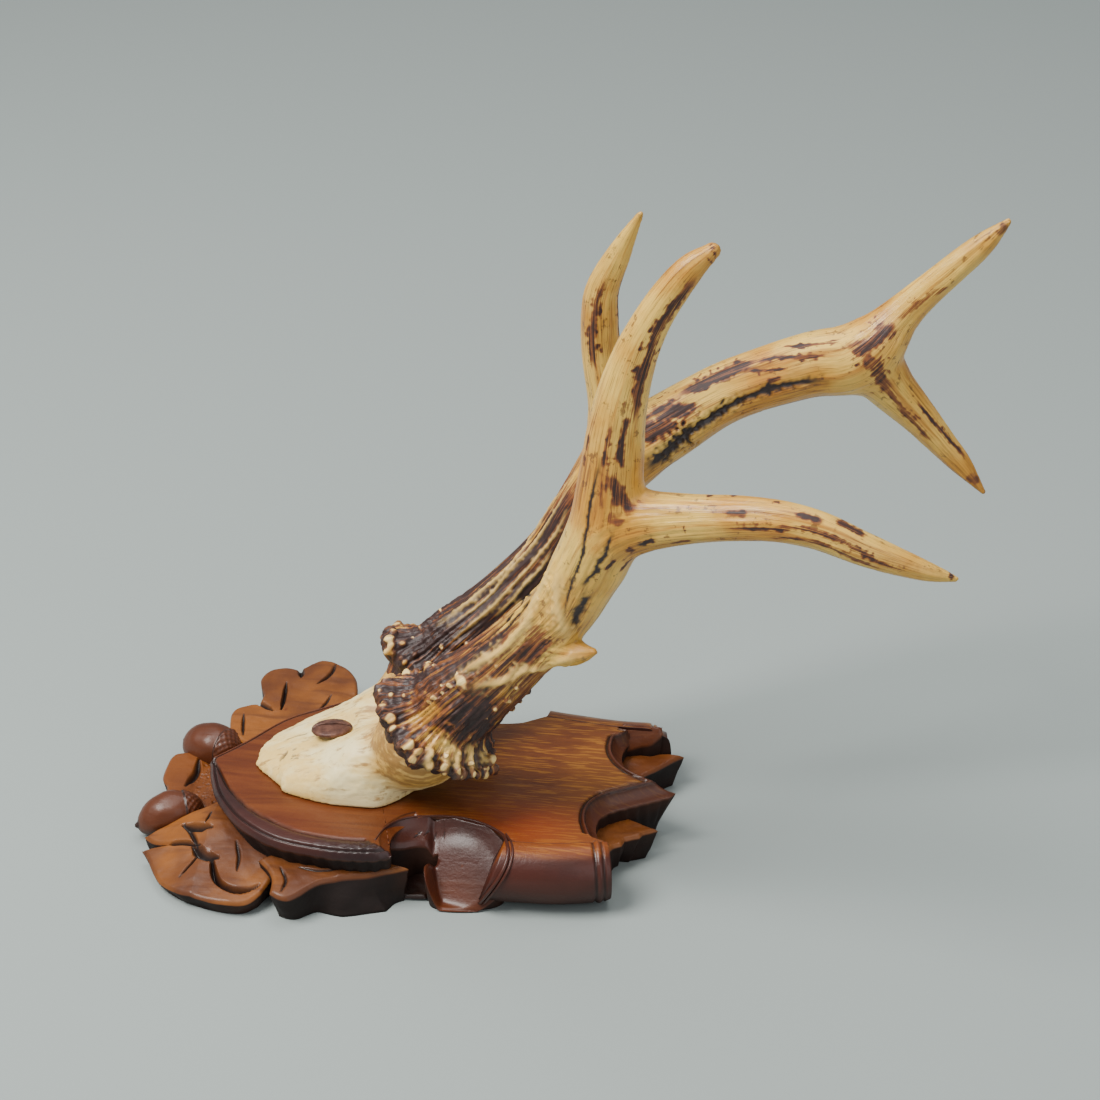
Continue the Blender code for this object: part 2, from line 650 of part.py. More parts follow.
def build_screw(parts, cutters, material, plaque, cap):
    axis, seat = screw_frame()
    crown = seat + axis * HEAD_RISE
    profile = [(HEAD_RISE * (1 - math.cos(t)), HEAD_RADIUS * math.sin(t))
               for t in np.linspace(HEAD_CROWN_ANGLE, math.pi / 2, HEAD_RINGS)]
    profile += [(HEAD_RISE, SHANK_RADIUS), (HEAD_RISE + SHANK_LENGTH, SHANK_RADIUS)]
    mesh = loft_mesh("screw", lathe_rings(profile, SCREW_SIDES, crown, axis))
    screw = add_object("screw", mesh, parts)
    slot_mesh = box_mesh("slot", (-SLOT_REACH, -SLOT_WIDTH / 2, -SLOT_DEPTH),
                         (SLOT_REACH, SLOT_WIDTH / 2, SLOT_ABOVE))
    slot = add_object("slot", slot_mesh, cutters)
    slot.location = [value * MM for value in crown]
    slot.rotation_euler = (math.radians(SCREW_LEAN_Y), math.radians(SCREW_LEAN_X), SLOT_TURN)
    bpy.context.view_layer.update()
    joined(screw, slot, "DIFFERENCE")
    screw.data.materials.clear()
    screw.data.materials.append(material)
    seat_profile = [(-HOLE_ABOVE, HEAD_RADIUS + GAP), (HEAD_RISE + GAP, HEAD_RADIUS + GAP),
                    (HEAD_RISE + GAP, SHANK_RADIUS + GAP),
                    (HEAD_RISE + SHANK_LENGTH + GAP, SHANK_RADIUS + GAP)]
    hole_rings = lathe_rings(seat_profile, SCREW_SIDES, crown, axis)
    hole_mesh = loft_mesh("screw_hole", hole_rings, False)
    hole = add_object("screw_hole", hole_mesh, cutters)
    for pierced in (plaque, cap):
        joined(pierced, hole, "DIFFERENCE")


def main():
    clear_scene()
    parts = new_collection("deer_antlers_on_shield")
    cutters = new_collection("cutters")
    oak = principled("oak", OAK, 0.35)
    bone = principled("bone", BONE, 0.55)
    antler = principled("antler", ANTLER, 0.45)
    steel = principled("rusty_steel", RUSTY_STEEL, 0.6, 0.6)

    plaque = build_plaque(parts, cutters, oak)
    cap = build_skull(parts, cutters, bone)
    build_screw(parts, cutters, steel, plaque, cap)

    beam, upper, _ = build_antler("left", LEFT_MAIN, LEFT_FORK, LEFT_FRONT, 1,
                                  parts, cutters, antler)
    add_object("left_upper_beam", loft_mesh("left_upper_beam", upper), parts, antler)
    spur_rings = rings_along(smooth_path(LEFT_SPUR, SPUR_STEP), SPUR_SIDES, 1.0)
    spur = add_object("left_spur", loft_mesh("left_spur", spur_rings), cutters)
    joined(beam, spur, "UNION")

    _, upper, rest = build_antler("right", RIGHT_MAIN, RIGHT_FORK, RIGHT_FRONT, -1,
                                  parts, cutters, antler)
    cut = nearest_index(rest, RIGHT_TOP_FORK)
    add_object("right_upper_beam", loft_mesh("right_upper_beam", upper[:cut + 1]), parts, antler)
    top = upper[cut:].copy()
    away = rest[cut + 1, :3] - rest[cut, :3]
    top[0] += GAP * away / np.linalg.norm(away)
    add_object("right_top_tine", loft_mesh("right_top_tine", top), parts, antler)
    sleeve_samples = rest.copy()
    sleeve_samples[:, 3] += GAP
    sleeve_mesh = loft_mesh("right_top_sleeve",
                            rings_along(sleeve_samples, TINE_SIDES, TINE_FLATNESS))
    sleeve = add_object("right_top_sleeve", sleeve_mesh, cutters)
    rear_rings = rings_along(smooth_path(RIGHT_REAR, RING_STEP), TINE_SIDES, TINE_FLATNESS)
    rear = add_object("right_rear_tine", loft_mesh("right_rear_tine", rear_rings), parts, antler)
    joined(rear, sleeve, "DIFFERENCE")


main()
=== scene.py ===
import itertools
import math

import bpy
import numpy as np
from mathutils import Matrix, Vector
from mathutils.bvhtree import BVHTree


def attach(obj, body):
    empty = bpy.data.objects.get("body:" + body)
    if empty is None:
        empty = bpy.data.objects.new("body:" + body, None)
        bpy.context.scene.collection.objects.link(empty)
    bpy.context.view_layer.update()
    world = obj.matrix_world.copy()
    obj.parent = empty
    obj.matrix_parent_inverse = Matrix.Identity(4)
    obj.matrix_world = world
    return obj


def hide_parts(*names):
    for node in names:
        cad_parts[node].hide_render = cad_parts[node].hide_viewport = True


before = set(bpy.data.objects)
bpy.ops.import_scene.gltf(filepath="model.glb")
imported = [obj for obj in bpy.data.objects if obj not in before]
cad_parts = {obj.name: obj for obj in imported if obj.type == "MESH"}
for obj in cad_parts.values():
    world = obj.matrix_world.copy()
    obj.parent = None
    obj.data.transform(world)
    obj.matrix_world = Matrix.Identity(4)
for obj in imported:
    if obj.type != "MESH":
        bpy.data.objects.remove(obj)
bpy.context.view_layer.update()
mm = 0.001
print("frame loaded")

# The photograph's view, in millimetres, degrees and pixels.
photoView = {
    "place": (147.59, -738.52, 540.0),
    "azimuth": 7.7,
    "elevation": 30.0,
    "focalPixels": 2700.0,
    "imagePixels": 1100.0,
    "depths": (700, 1200, 5),   # tried along a ray that misses: from, to, step
    "filmWidth": 36.0,
    "clipStart": 0.01,          # in metres
}


# Unit vectors of the photograph's view: to the right, up, and back towards the camera.
def viewAxes():
    azimuth, elevation = (math.radians(photoView[key]) for key in ("azimuth", "elevation"))
    back = Vector((math.sin(azimuth) * math.cos(elevation),
                   -math.cos(azimuth) * math.cos(elevation), math.sin(elevation)))
    right = Vector((math.cos(azimuth), math.sin(azimuth), 0.0))
    return right, back.cross(right), back


# Where the rays through pixels of the photograph meet a surface, or pass it most closely.
def onRays(tree, pixels):
    place = Vector(photoView["place"])
    right, up, back = viewAxes()
    middle = photoView["imagePixels"] / 2
    spots = []
    for u, v in pixels:
        ray = right * (u - middle) - up * (v - middle) - back * photoView["focalPixels"]
        ray.normalize()
        spot = tree.ray_cast(place, ray)[0]
        if spot is None:
            depths = range(*photoView["depths"])
            found = [tree.find_nearest(place + ray * far) for far in depths]
            spot = min(found, key=lambda near: near[3])[0]
        spots.append(tuple(spot))
    return np.array(spots)


noiseCells = 256                # the noise repeats after so many cells
noiseGain = 1.7
layerShift = 17.3               # keeps layers of noise apart
pairsAtOnce = 3000000           # distances worked out at one time, to spare the memory
pointsAtOnce = 20000
noiseRandom = np.random.default_rng(5)
noiseOrder = noiseRandom.permutation(noiseCells)
noiseSlopes = noiseRandom.normal(size=(noiseCells, 3))
noiseSlopes /= np.linalg.norm(noiseSlopes, axis=1)[:, None]


# Gradient noise, about -1 to 1: each lattice corner's slope times the way to it, eased between.
def noise(points):
    cell = np.floor(points).astype(int)
    part = points - cell
    ease = part ** 3 * (part * (part * 6 - 15) + 10)
    total = np.zeros(len(points))
    for corner in itertools.product((0, 1), repeat=3):
        at = (cell + corner) % noiseCells
        key = noiseOrder[(noiseOrder[at[:, 0]] + at[:, 1]) % noiseCells]
        key = noiseOrder[(key + at[:, 2]) % noiseCells]
        share = np.where(corner, ease, 1 - ease).prod(axis=1)
        total += share * (noiseSlopes[key] * (part - corner)).sum(axis=1)
    return total * noiseGain


# Layers of noise, each twice as fine and half as high as the one before.
def layeredNoise(points, layers):
    return sum(noise(points * 2 ** i + layerShift * i) / 2 ** i for i in range(layers))


# 0 below low, 1 above high, and 3 t^2 - 2 t^3 between.
def smoothstep(low, high, value):
    part = np.clip((value - low) / (high - low), 0, 1)
    return part * part * (3 - 2 * part)


# 1 at the middle, falling off as e to minus the square of the way from it in widths.
def bell(value, middle, width):
    return np.exp(-(((value - middle) / width) ** 2))


# Catmull-Rom curve through rows of numbers, read about every step of length.
def smoothPath(points, step):
    knots = np.array(points, float)
    ends = np.vstack([2 * knots[0] - knots[1], knots, 2 * knots[-1] - knots[-2]])
    samples = []
    for p0, p1, p2, p3 in zip(ends[:-3], ends[1:-2], ends[2:-1], ends[3:]):
        count = max(1, int(round(np.linalg.norm((p2 - p1)[:3]) / step)))
        t = (np.arange(count) / count)[:, None]
        curve = 2 * p1 + (p2 - p0) * t + (2 * p0 - 5 * p1 + 4 * p2 - p3) * t ** 2
        samples.append((curve + (3 * p1 - p0 - 3 * p2 + p3) * t ** 3) / 2)
    return np.vstack([*samples, knots[-1:]])


# An outline with corners: rows of x and y, smooth between the rows marked "c".
def cornerPath(outline, step):
    corners = [i for i, row in enumerate(outline) if len(row) > 2]
    places = [row[:2] for row in outline]
    turned = places[corners[0]:] + places[:corners[0] + 1]
    stops = [i - corners[0] for i in corners] + [len(places)]
    runs = [smoothPath(turned[a:b + 1], step)[:-1] for a, b in zip(stops[:-1], stops[1:])]
    return np.vstack(runs)


# Millimetres along a path of points.
def pathSteps(spine):
    return np.r_[0, np.cumsum(np.linalg.norm(np.diff(spine, axis=0), axis=1))]


# Frames along a path: unit tangent, the side that leans to +Y, and the third, up and back.
def pathFrames(spine):
    tangent = np.gradient(spine, axis=0)
    tangent /= np.linalg.norm(tangent, axis=1)[:, None]
    across = np.array([0.0, 1.0, 0.0]) - tangent[:, 1:2] * tangent
    across /= np.linalg.norm(across, axis=1)[:, None]
    return tangent, across, np.cross(tangent, across)


# A tube: ring i is the path's point i plus its radius times (cos, flatness x sin) round it.
def tubeRings(samples, sides, flatness, factor=None):
    spine = samples[:, :3]
    tangent, across, outward = pathFrames(spine)
    angle = np.linspace(0, 2 * math.pi, sides, endpoint=False)
    reach = samples[:, 3:4] * np.ones(sides)
    if factor is not None:
        reach = factor(pathSteps(spine)[:, None], angle[None, :], reach)
    ring = np.cos(angle)[None, :, None] * outward[:, None, :]
    ring = ring + flatness * np.sin(angle)[None, :, None] * across[:, None, :]
    return spine[:, None, :] + reach[:, :, None] * ring


# Points and faces of a stack of rings, each end closed by a fan about its middle.
def ringMesh(rings):
    count, sides = rings.shape[:2]
    i, j = np.meshgrid(np.arange(count - 1), np.arange(sides), indexing="ij")
    k = (j + 1) % sides
    quads = np.stack([i * sides + j, i * sides + k, (i + 1) * sides + k, (i + 1) * sides + j], 2)
    points = np.vstack([rings.reshape(-1, 3), rings[0].mean(0), rings[-1].mean(0)])
    around = np.arange(sides)
    after = (around + 1) % sides
    last = (count - 1) * sides
    foot = np.stack([after, around, np.full(sides, count * sides)], 1)
    top = np.stack([last + around, last + after, np.full(sides, count * sides + 1)], 1)
    return points, quads.reshape(-1, 4).tolist() + foot.tolist() + top.tolist()


# Signed volume by the divergence theorem, from fans of each face: negative is inside out.
def outwardFaces(points, faces):
    three = [(f[0], f[i], f[i + 1]) for f in faces for i in range(1, len(f) - 1)]
    a, b, c = (points[list(k)] for k in zip(*three))
    inside = (a * np.cross(b, c)).sum() < 0
    return [face[::-1] for face in faces] if inside else faces


# One even skin over overlapping closed shapes, given back as points and quads.
def voxelSkin(parts, voxel):
    points, faces, start = [], [], 0
    for somePoints, someFaces in parts:
        points.append(somePoints)
        faces += [[start + n for n in face] for face in outwardFaces(somePoints, someFaces)]
        start += len(somePoints)
    mesh = bpy.data.meshes.new("rough")
    mesh.from_pydata((np.vstack(points) * mm).tolist(), [], faces)
    rough = bpy.data.objects.new("rough", mesh)
    bpy.context.scene.collection.objects.link(rough)
    skin = rough.modifiers.new("skin", "REMESH")
    skin.mode = "VOXEL"
    skin.voxel_size = voxel * mm
    graph = bpy.context.evaluated_depsgraph_get()
    made = rough.evaluated_get(graph).to_mesh()
    spots = np.zeros(len(made.vertices) * 3, np.float32)
    made.vertices.foreach_get("co", spots)
    corners = np.zeros(len(made.loops), np.int32)
    made.loops.foreach_get("vertex_index", corners)
    rough.evaluated_get(graph).to_mesh_clear()
    bpy.data.objects.remove(rough, do_unlink=True)
    return spots.reshape(-1, 3).astype(float) / mm, corners.reshape(-1, 4)


# Each point's normal: the sum of its quads' crossed diagonals, made one long.
def vertexNormals(points, quads):
    cross = np.cross(points[quads[:, 2]] - points[quads[:, 0]],
                     points[quads[:, 3]] - points[quads[:, 1]])
    normal = np.zeros_like(points)
    for corner, axis in itertools.product(range(4), range(3)):
        normal[:, axis] += np.bincount(quads[:, corner], cross[:, axis], len(points))
    return normal / np.maximum(np.linalg.norm(normal, axis=1), 1e-9)[:, None]


# Each round moves a point by its weight towards the mean of its neighbours.
def smoothed(points, quads, weight, rounds):
    edges = np.vstack([quads[:, [0, 1]], quads[:, [1, 2]], quads[:, [2, 3]], quads[:, [3, 0]]])
    a, b = np.r_[edges[:, 0], edges[:, 1]], np.r_[edges[:, 1], edges[:, 0]]
    number = np.bincount(a, minlength=len(points))[:, None]
    weight = np.broadcast_to(weight, len(points))[:, None]
    for _ in range(rounds):
        mean = np.stack([np.bincount(a, points[b, k], len(points)) for k in range(3)], 1)
        points = points + weight * (mean / number - points)
    return points


# The finished object at the origin, with its finish, its body and named attributes.
def addPiece(name, points, faces, material, traits, stands=()):
    mesh = bpy.data.meshes.new(name)
    faces = faces.tolist() if isinstance(faces, np.ndarray) else faces
    mesh.from_pydata((points * mm).tolist(), [], faces)
    mesh.update()
    mesh.shade_smooth()
    for trait, values in traits.items():
        kind = "FLOAT" if values.ndim == 1 else "FLOAT_VECTOR"
        layer = mesh.attributes.new(trait, kind, "POINT")
        layer.data.foreach_set("value" if kind == "FLOAT" else "vector",
                               values.astype(np.float32).ravel())
    mesh.materials.append(material)
    piece = bpy.data.objects.new(name, mesh)
    bpy.context.scene.collection.objects.link(piece)
    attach(piece, "root")
    if stands:
        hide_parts(*stands)
    print(f"{name}: {sum(len(f) - 2 for f in faces)} triangles")


# For each point: how far a line of points is, the nearest place on it, and the share along it.
def nearestOn(points, line, closed=False):
    line = np.asarray(line, float)
    ends = np.vstack([line, line[:1]]) if closed else line
    start, run = ends[:-1], np.diff(ends, axis=0)
    size = np.maximum((run ** 2).sum(1), 1e-9)
    steps = pathSteps(ends)
    block = max(1, pairsAtOnce // len(run))
    away, spots, share = [], [], []
    for first in range(0, len(points), block):
        some = points[first:first + block, None, :]
        along = np.clip(((some - start) * run).sum(2) / size, 0, 1)
        spot = start + along[:, :, None] * run
        gap = ((some - spot) ** 2).sum(2)
        k = gap.argmin(1)
        row = np.arange(len(k))
        away.append(np.sqrt(gap[row, k]))
        spots.append(spot[row, k])
        share.append((steps[k] + along[row, k] * np.sqrt(size[k])) / steps[-1])
    return np.concatenate(away), np.vstack(spots), np.concatenate(share)


class Wire:                                      # one shader socket that sums can be made with
    def __init__(self, finish, socket):
        self.finish, self.socket = finish, socket

    def maths(self, operation, *values):
        return self.finish.node("Math", {"operation": operation}, dict(enumerate(values)))

    def __add__(self, other):
        return self.maths("ADD", self, other)

    def __sub__(self, other):
        return self.maths("SUBTRACT", self, other)

    def __rsub__(self, other):
        return self.maths("SUBTRACT", other, self)

    def __mul__(self, other):
        return self.maths("MULTIPLY", self, other)

    def band(self, low, high):                   # 0 below low, 1 above high, smooth between
        settings = {"interpolation_type": "SMOOTHSTEP"}
        return self.finish.node("MapRange", settings, {0: self, 1: low, 2: high, 3: 0.0, 4: 1.0})

    __radd__ = __add__
    __rmul__ = __mul__


class Finish:                                    # one material, its nodes and its named colours
    def __init__(self, name, colors):
        self.colors = colors
        self.material = bpy.data.materials.new(name)
        self.material.use_nodes = True
        self.tree = self.material.node_tree
        self.shader = self.tree.nodes["Principled BSDF"]

    def node(self, kind, settings, inputs, output=0):
        made = self.tree.nodes.new("ShaderNode" + kind)
        for key, value in settings.items():
            setattr(made, key, value)
        for key, value in inputs.items():
            if isinstance(value, Wire):
                self.tree.links.new(value.socket, made.inputs[key])
            else:
                made.inputs[key].default_value = value
        return Wire(self, made.outputs[output])

    def trait(self, name, output="Fac"):
        settings = {"attribute_type": "GEOMETRY", "attribute_name": name}
        return self.node("Attribute", settings, {}, output)

    def place(self, scale=(1, 1, 1), vector=None):
        spot = vector or self.node("TexCoord", {}, {}, "Object")
        return self.node("VectorMath", {"operation": "MULTIPLY"}, {0: spot, 1: scale})

    def noise(self, vector, scale, detail=4.0, roughness=0.55, distortion=0.0):
        inputs = {"Vector": vector, "Scale": scale, "Detail": detail, "Roughness": roughness,
                  "Distortion": distortion}
        return self.node("TexNoise", {"noise_dimensions": "3D"}, inputs)

    def mix(self, share, low, high):             # colours: low where share is 0, high where 1
        low, high = (color if isinstance(color, Wire) else (*self.colors[color], 1.0)
                     for color in (low, high))
        return self.node("Mix", {"data_type": "RGBA"}, {0: share, 6: low, 7: high}, 2)

    def bump(self, height, strength, distance):
        inputs = {"Height": height, "Strength": strength, "Distance": distance}
        return self.node("Bump", {}, inputs)

    def link(self, wire, socket):
        self.tree.links.new(wire.socket, self.shader.inputs[socket])


# Path rows are x, y, z and radius in millimetres. "main" runs from the burr to the last tip.
# "dark" is how stained the lower beam is, and the millimetres over which that ends.
antlers = {
    "left_antler": {
        "stands": ("left_beam", "left_front_tine", "left_upper_beam"),
        "innerSide": 1,
        "seed": 3,
        "dark": (0.72, 26.0, 74.0),
        "main": [
            (11.8, -21.3, 51.8, 13.4), (14.6, -22.2, 56.2, 14.6), (22.5, -23.4, 66.4, 14.4),
            (33.5, -24.0, 78.0, 12.2), (47.0, -25.1, 94.1, 10.6), (56.3, -26.2, 105.9, 10.7),
            (63.1, -27.6, 120.5, 11.0), (69.5, -29.5, 133.8, 10.8), (79.4, -31.6, 140.0, 9.6),
            (96.0, -36.0, 144.8, 7.6), (116.2, -42.0, 149.6, 6.6), (132.0, -44.7, 149.0, 6.0),
            (148.1, -45.3, 143.1, 5.0), (164.3, -43.6, 136.9, 3.2), (174.6, -42.0, 133.6, 0.9),
        ],
        "tines": [
            [(65.5, -28.6, 124.0, 9.0), (69.0, -29.6, 142.0, 10.4), (70.6, -30.0, 158.0, 9.5),
             (72.2, -30.5, 174.2, 8.3), (75.8, -30.5, 191.6, 6.9), (81.7, -30.5, 206.7, 5.6),
             (91.1, -29.5, 221.8, 4.5), (98.4, -28.0, 228.6, 2.4)],
            [(50.0, -27.0, 90.0, 5.0), (58.5, -31.5, 91.8, 4.4), (63.2, -33.6, 93.3, 2.9),
             (66.3, -34.6, 94.6, 1.2)],
        ],
    },
    "right_antler": {
        "stands": ("right_beam", "right_front_tine", "right_upper_beam", "right_top_tine",
                   "right_rear_tine"),
        "innerSide": -1,
        "seed": 8,
        "dark": (0.95, 66.0, 106.0),
        "main": [
            (4.4, 21.0, 43.6, 13.0), (7.0, 21.9, 48.0, 14.0), (13.5, 24.0, 56.6, 13.4),
            (21.0, 26.4, 64.2, 11.6), (30.5, 28.6, 74.0, 10.4), (44.2, 31.1, 90.1, 9.6),
            (54.9, 33.3, 108.4, 9.6), (62.5, 35.4, 119.5, 11.0), (70.5, 38.2, 128.6, 12.0),
            (80.5, 41.7, 134.8, 11.2), (99.8, 50.2, 144.9, 10.1), (123.5, 58.7, 151.3, 10.8),
            (137.5, 61.6, 153.4, 11.1), (146.5, 63.6, 159.5, 9.8), (153.6, 64.9, 168.6, 6.6),
            (161.1, 64.9, 177.3, 5.3), (176.2, 63.3, 193.9, 4.1), (185.2, 61.6, 204.7, 1.0),
        ],
        "tines": [
            [(64.0, 36.0, 122.0, 8.6), (63.6, 36.6, 136.0, 8.6), (62.4, 36.5, 147.0, 7.4),
             (59.6, 35.4, 163.0, 6.4), (59.1, 33.8, 177.5, 5.9), (60.1, 32.7, 187.4, 5.2),
             (65.2, 31.0, 200.0, 3.8), (72.1, 28.9, 214.7, 0.9)],
            [(134.0, 62.0, 152.0, 8.0), (145.5, 64.6, 149.0, 9.6), (153.4, 66.3, 140.4, 7.9),
             (163.1, 67.6, 129.7, 6.0), (170.9, 68.2, 120.6, 4.7), (177.4, 68.2, 113.4, 3.6),
             (185.6, 67.1, 104.0, 0.7)],
        ],
    },
}
antlerLook = {
    "voxel": 0.56,             # size of a face
    "pathStep": 0.9,
    "sides": 72,
    "beamFlatness": 0.92,
    "tineFlatness": 0.86,
    "webWidth": 1.7,           # how softly branches flow into each other
    "settle": (3, 0.8, 0.3, 2),   # rounds, share of the way, then weight and rounds of smoothing
    "flowLength": 100.0,       # millimetres along a branch for one unit of its flow
    "burrFlare": 8.0,
    "burrAt": 4.6,
    "burrHalf": 4.4,
    "burrSqueeze": 0.22,       # how much flatter the burr is on the side towards the other one
    "burrWaves": ((5, 0.11), (9, 0.09), (14, 0.08)),   # count round the rim, share of the flare
    "ridgeHeight": 1.5,
    "ridgeFade": 62.0,
    "broad": ((2.1, 2.1, 3.3), 3.1),      # noise on the flow: how fine, twice round and along,
    "narrow": ((5.0, 5.0, 7.0), 1.7),     # and its shift
    "wideRibs": ((3.6, 3.6, 2.2), 5.5),
    "closeRibs": ((7.5, 7.5, 3.0), 8.5),
    "closeEnd": (14, 40),      # millimetres along, over which wide ribs follow the close ones
    "broadHeight": 0.22,
    "narrowHeight": 0.12,
    "lumpHeight": 0.5,
    "lumpSize": 2.6,
    "lineDepth": 0.2,
    "burrStain": 0.95,
    "burrStainEnd": (5, 15),
    # painted shade: how much darker the undersides are made
    "underShade": 0.3,
    "markStep": 3.0,
    "markReach": 2.5,          # in widths of the mark
    "markEnds": ((-0.1, 0.25), (0.75, 1.1)),   # shares of its length over which it thins out
    "ragged": ((0.8, 1.6), (0.5, 5.0)),   # how much a mark's edge wanders, and over what size
    "rimPearls": 30,
    "beamPearls": 26,
    "rimSize": (1.0, 2.1),     # radii in millimetres
    "upperSize": (0.7, 1.4),
    "beamSize": (0.45, 1.0),
    "upperShift": 2.2,         # from the rim's row of pearls to the one above it
    "beamReach": (8, 34),      # where the beam's pearls start, and how far they go
    "pearlReach": 75,
    "pearlHeight": 0.9,        # share of the radius
    "creamPearls": 0.45,       # share of the pearls that are worn cream
}
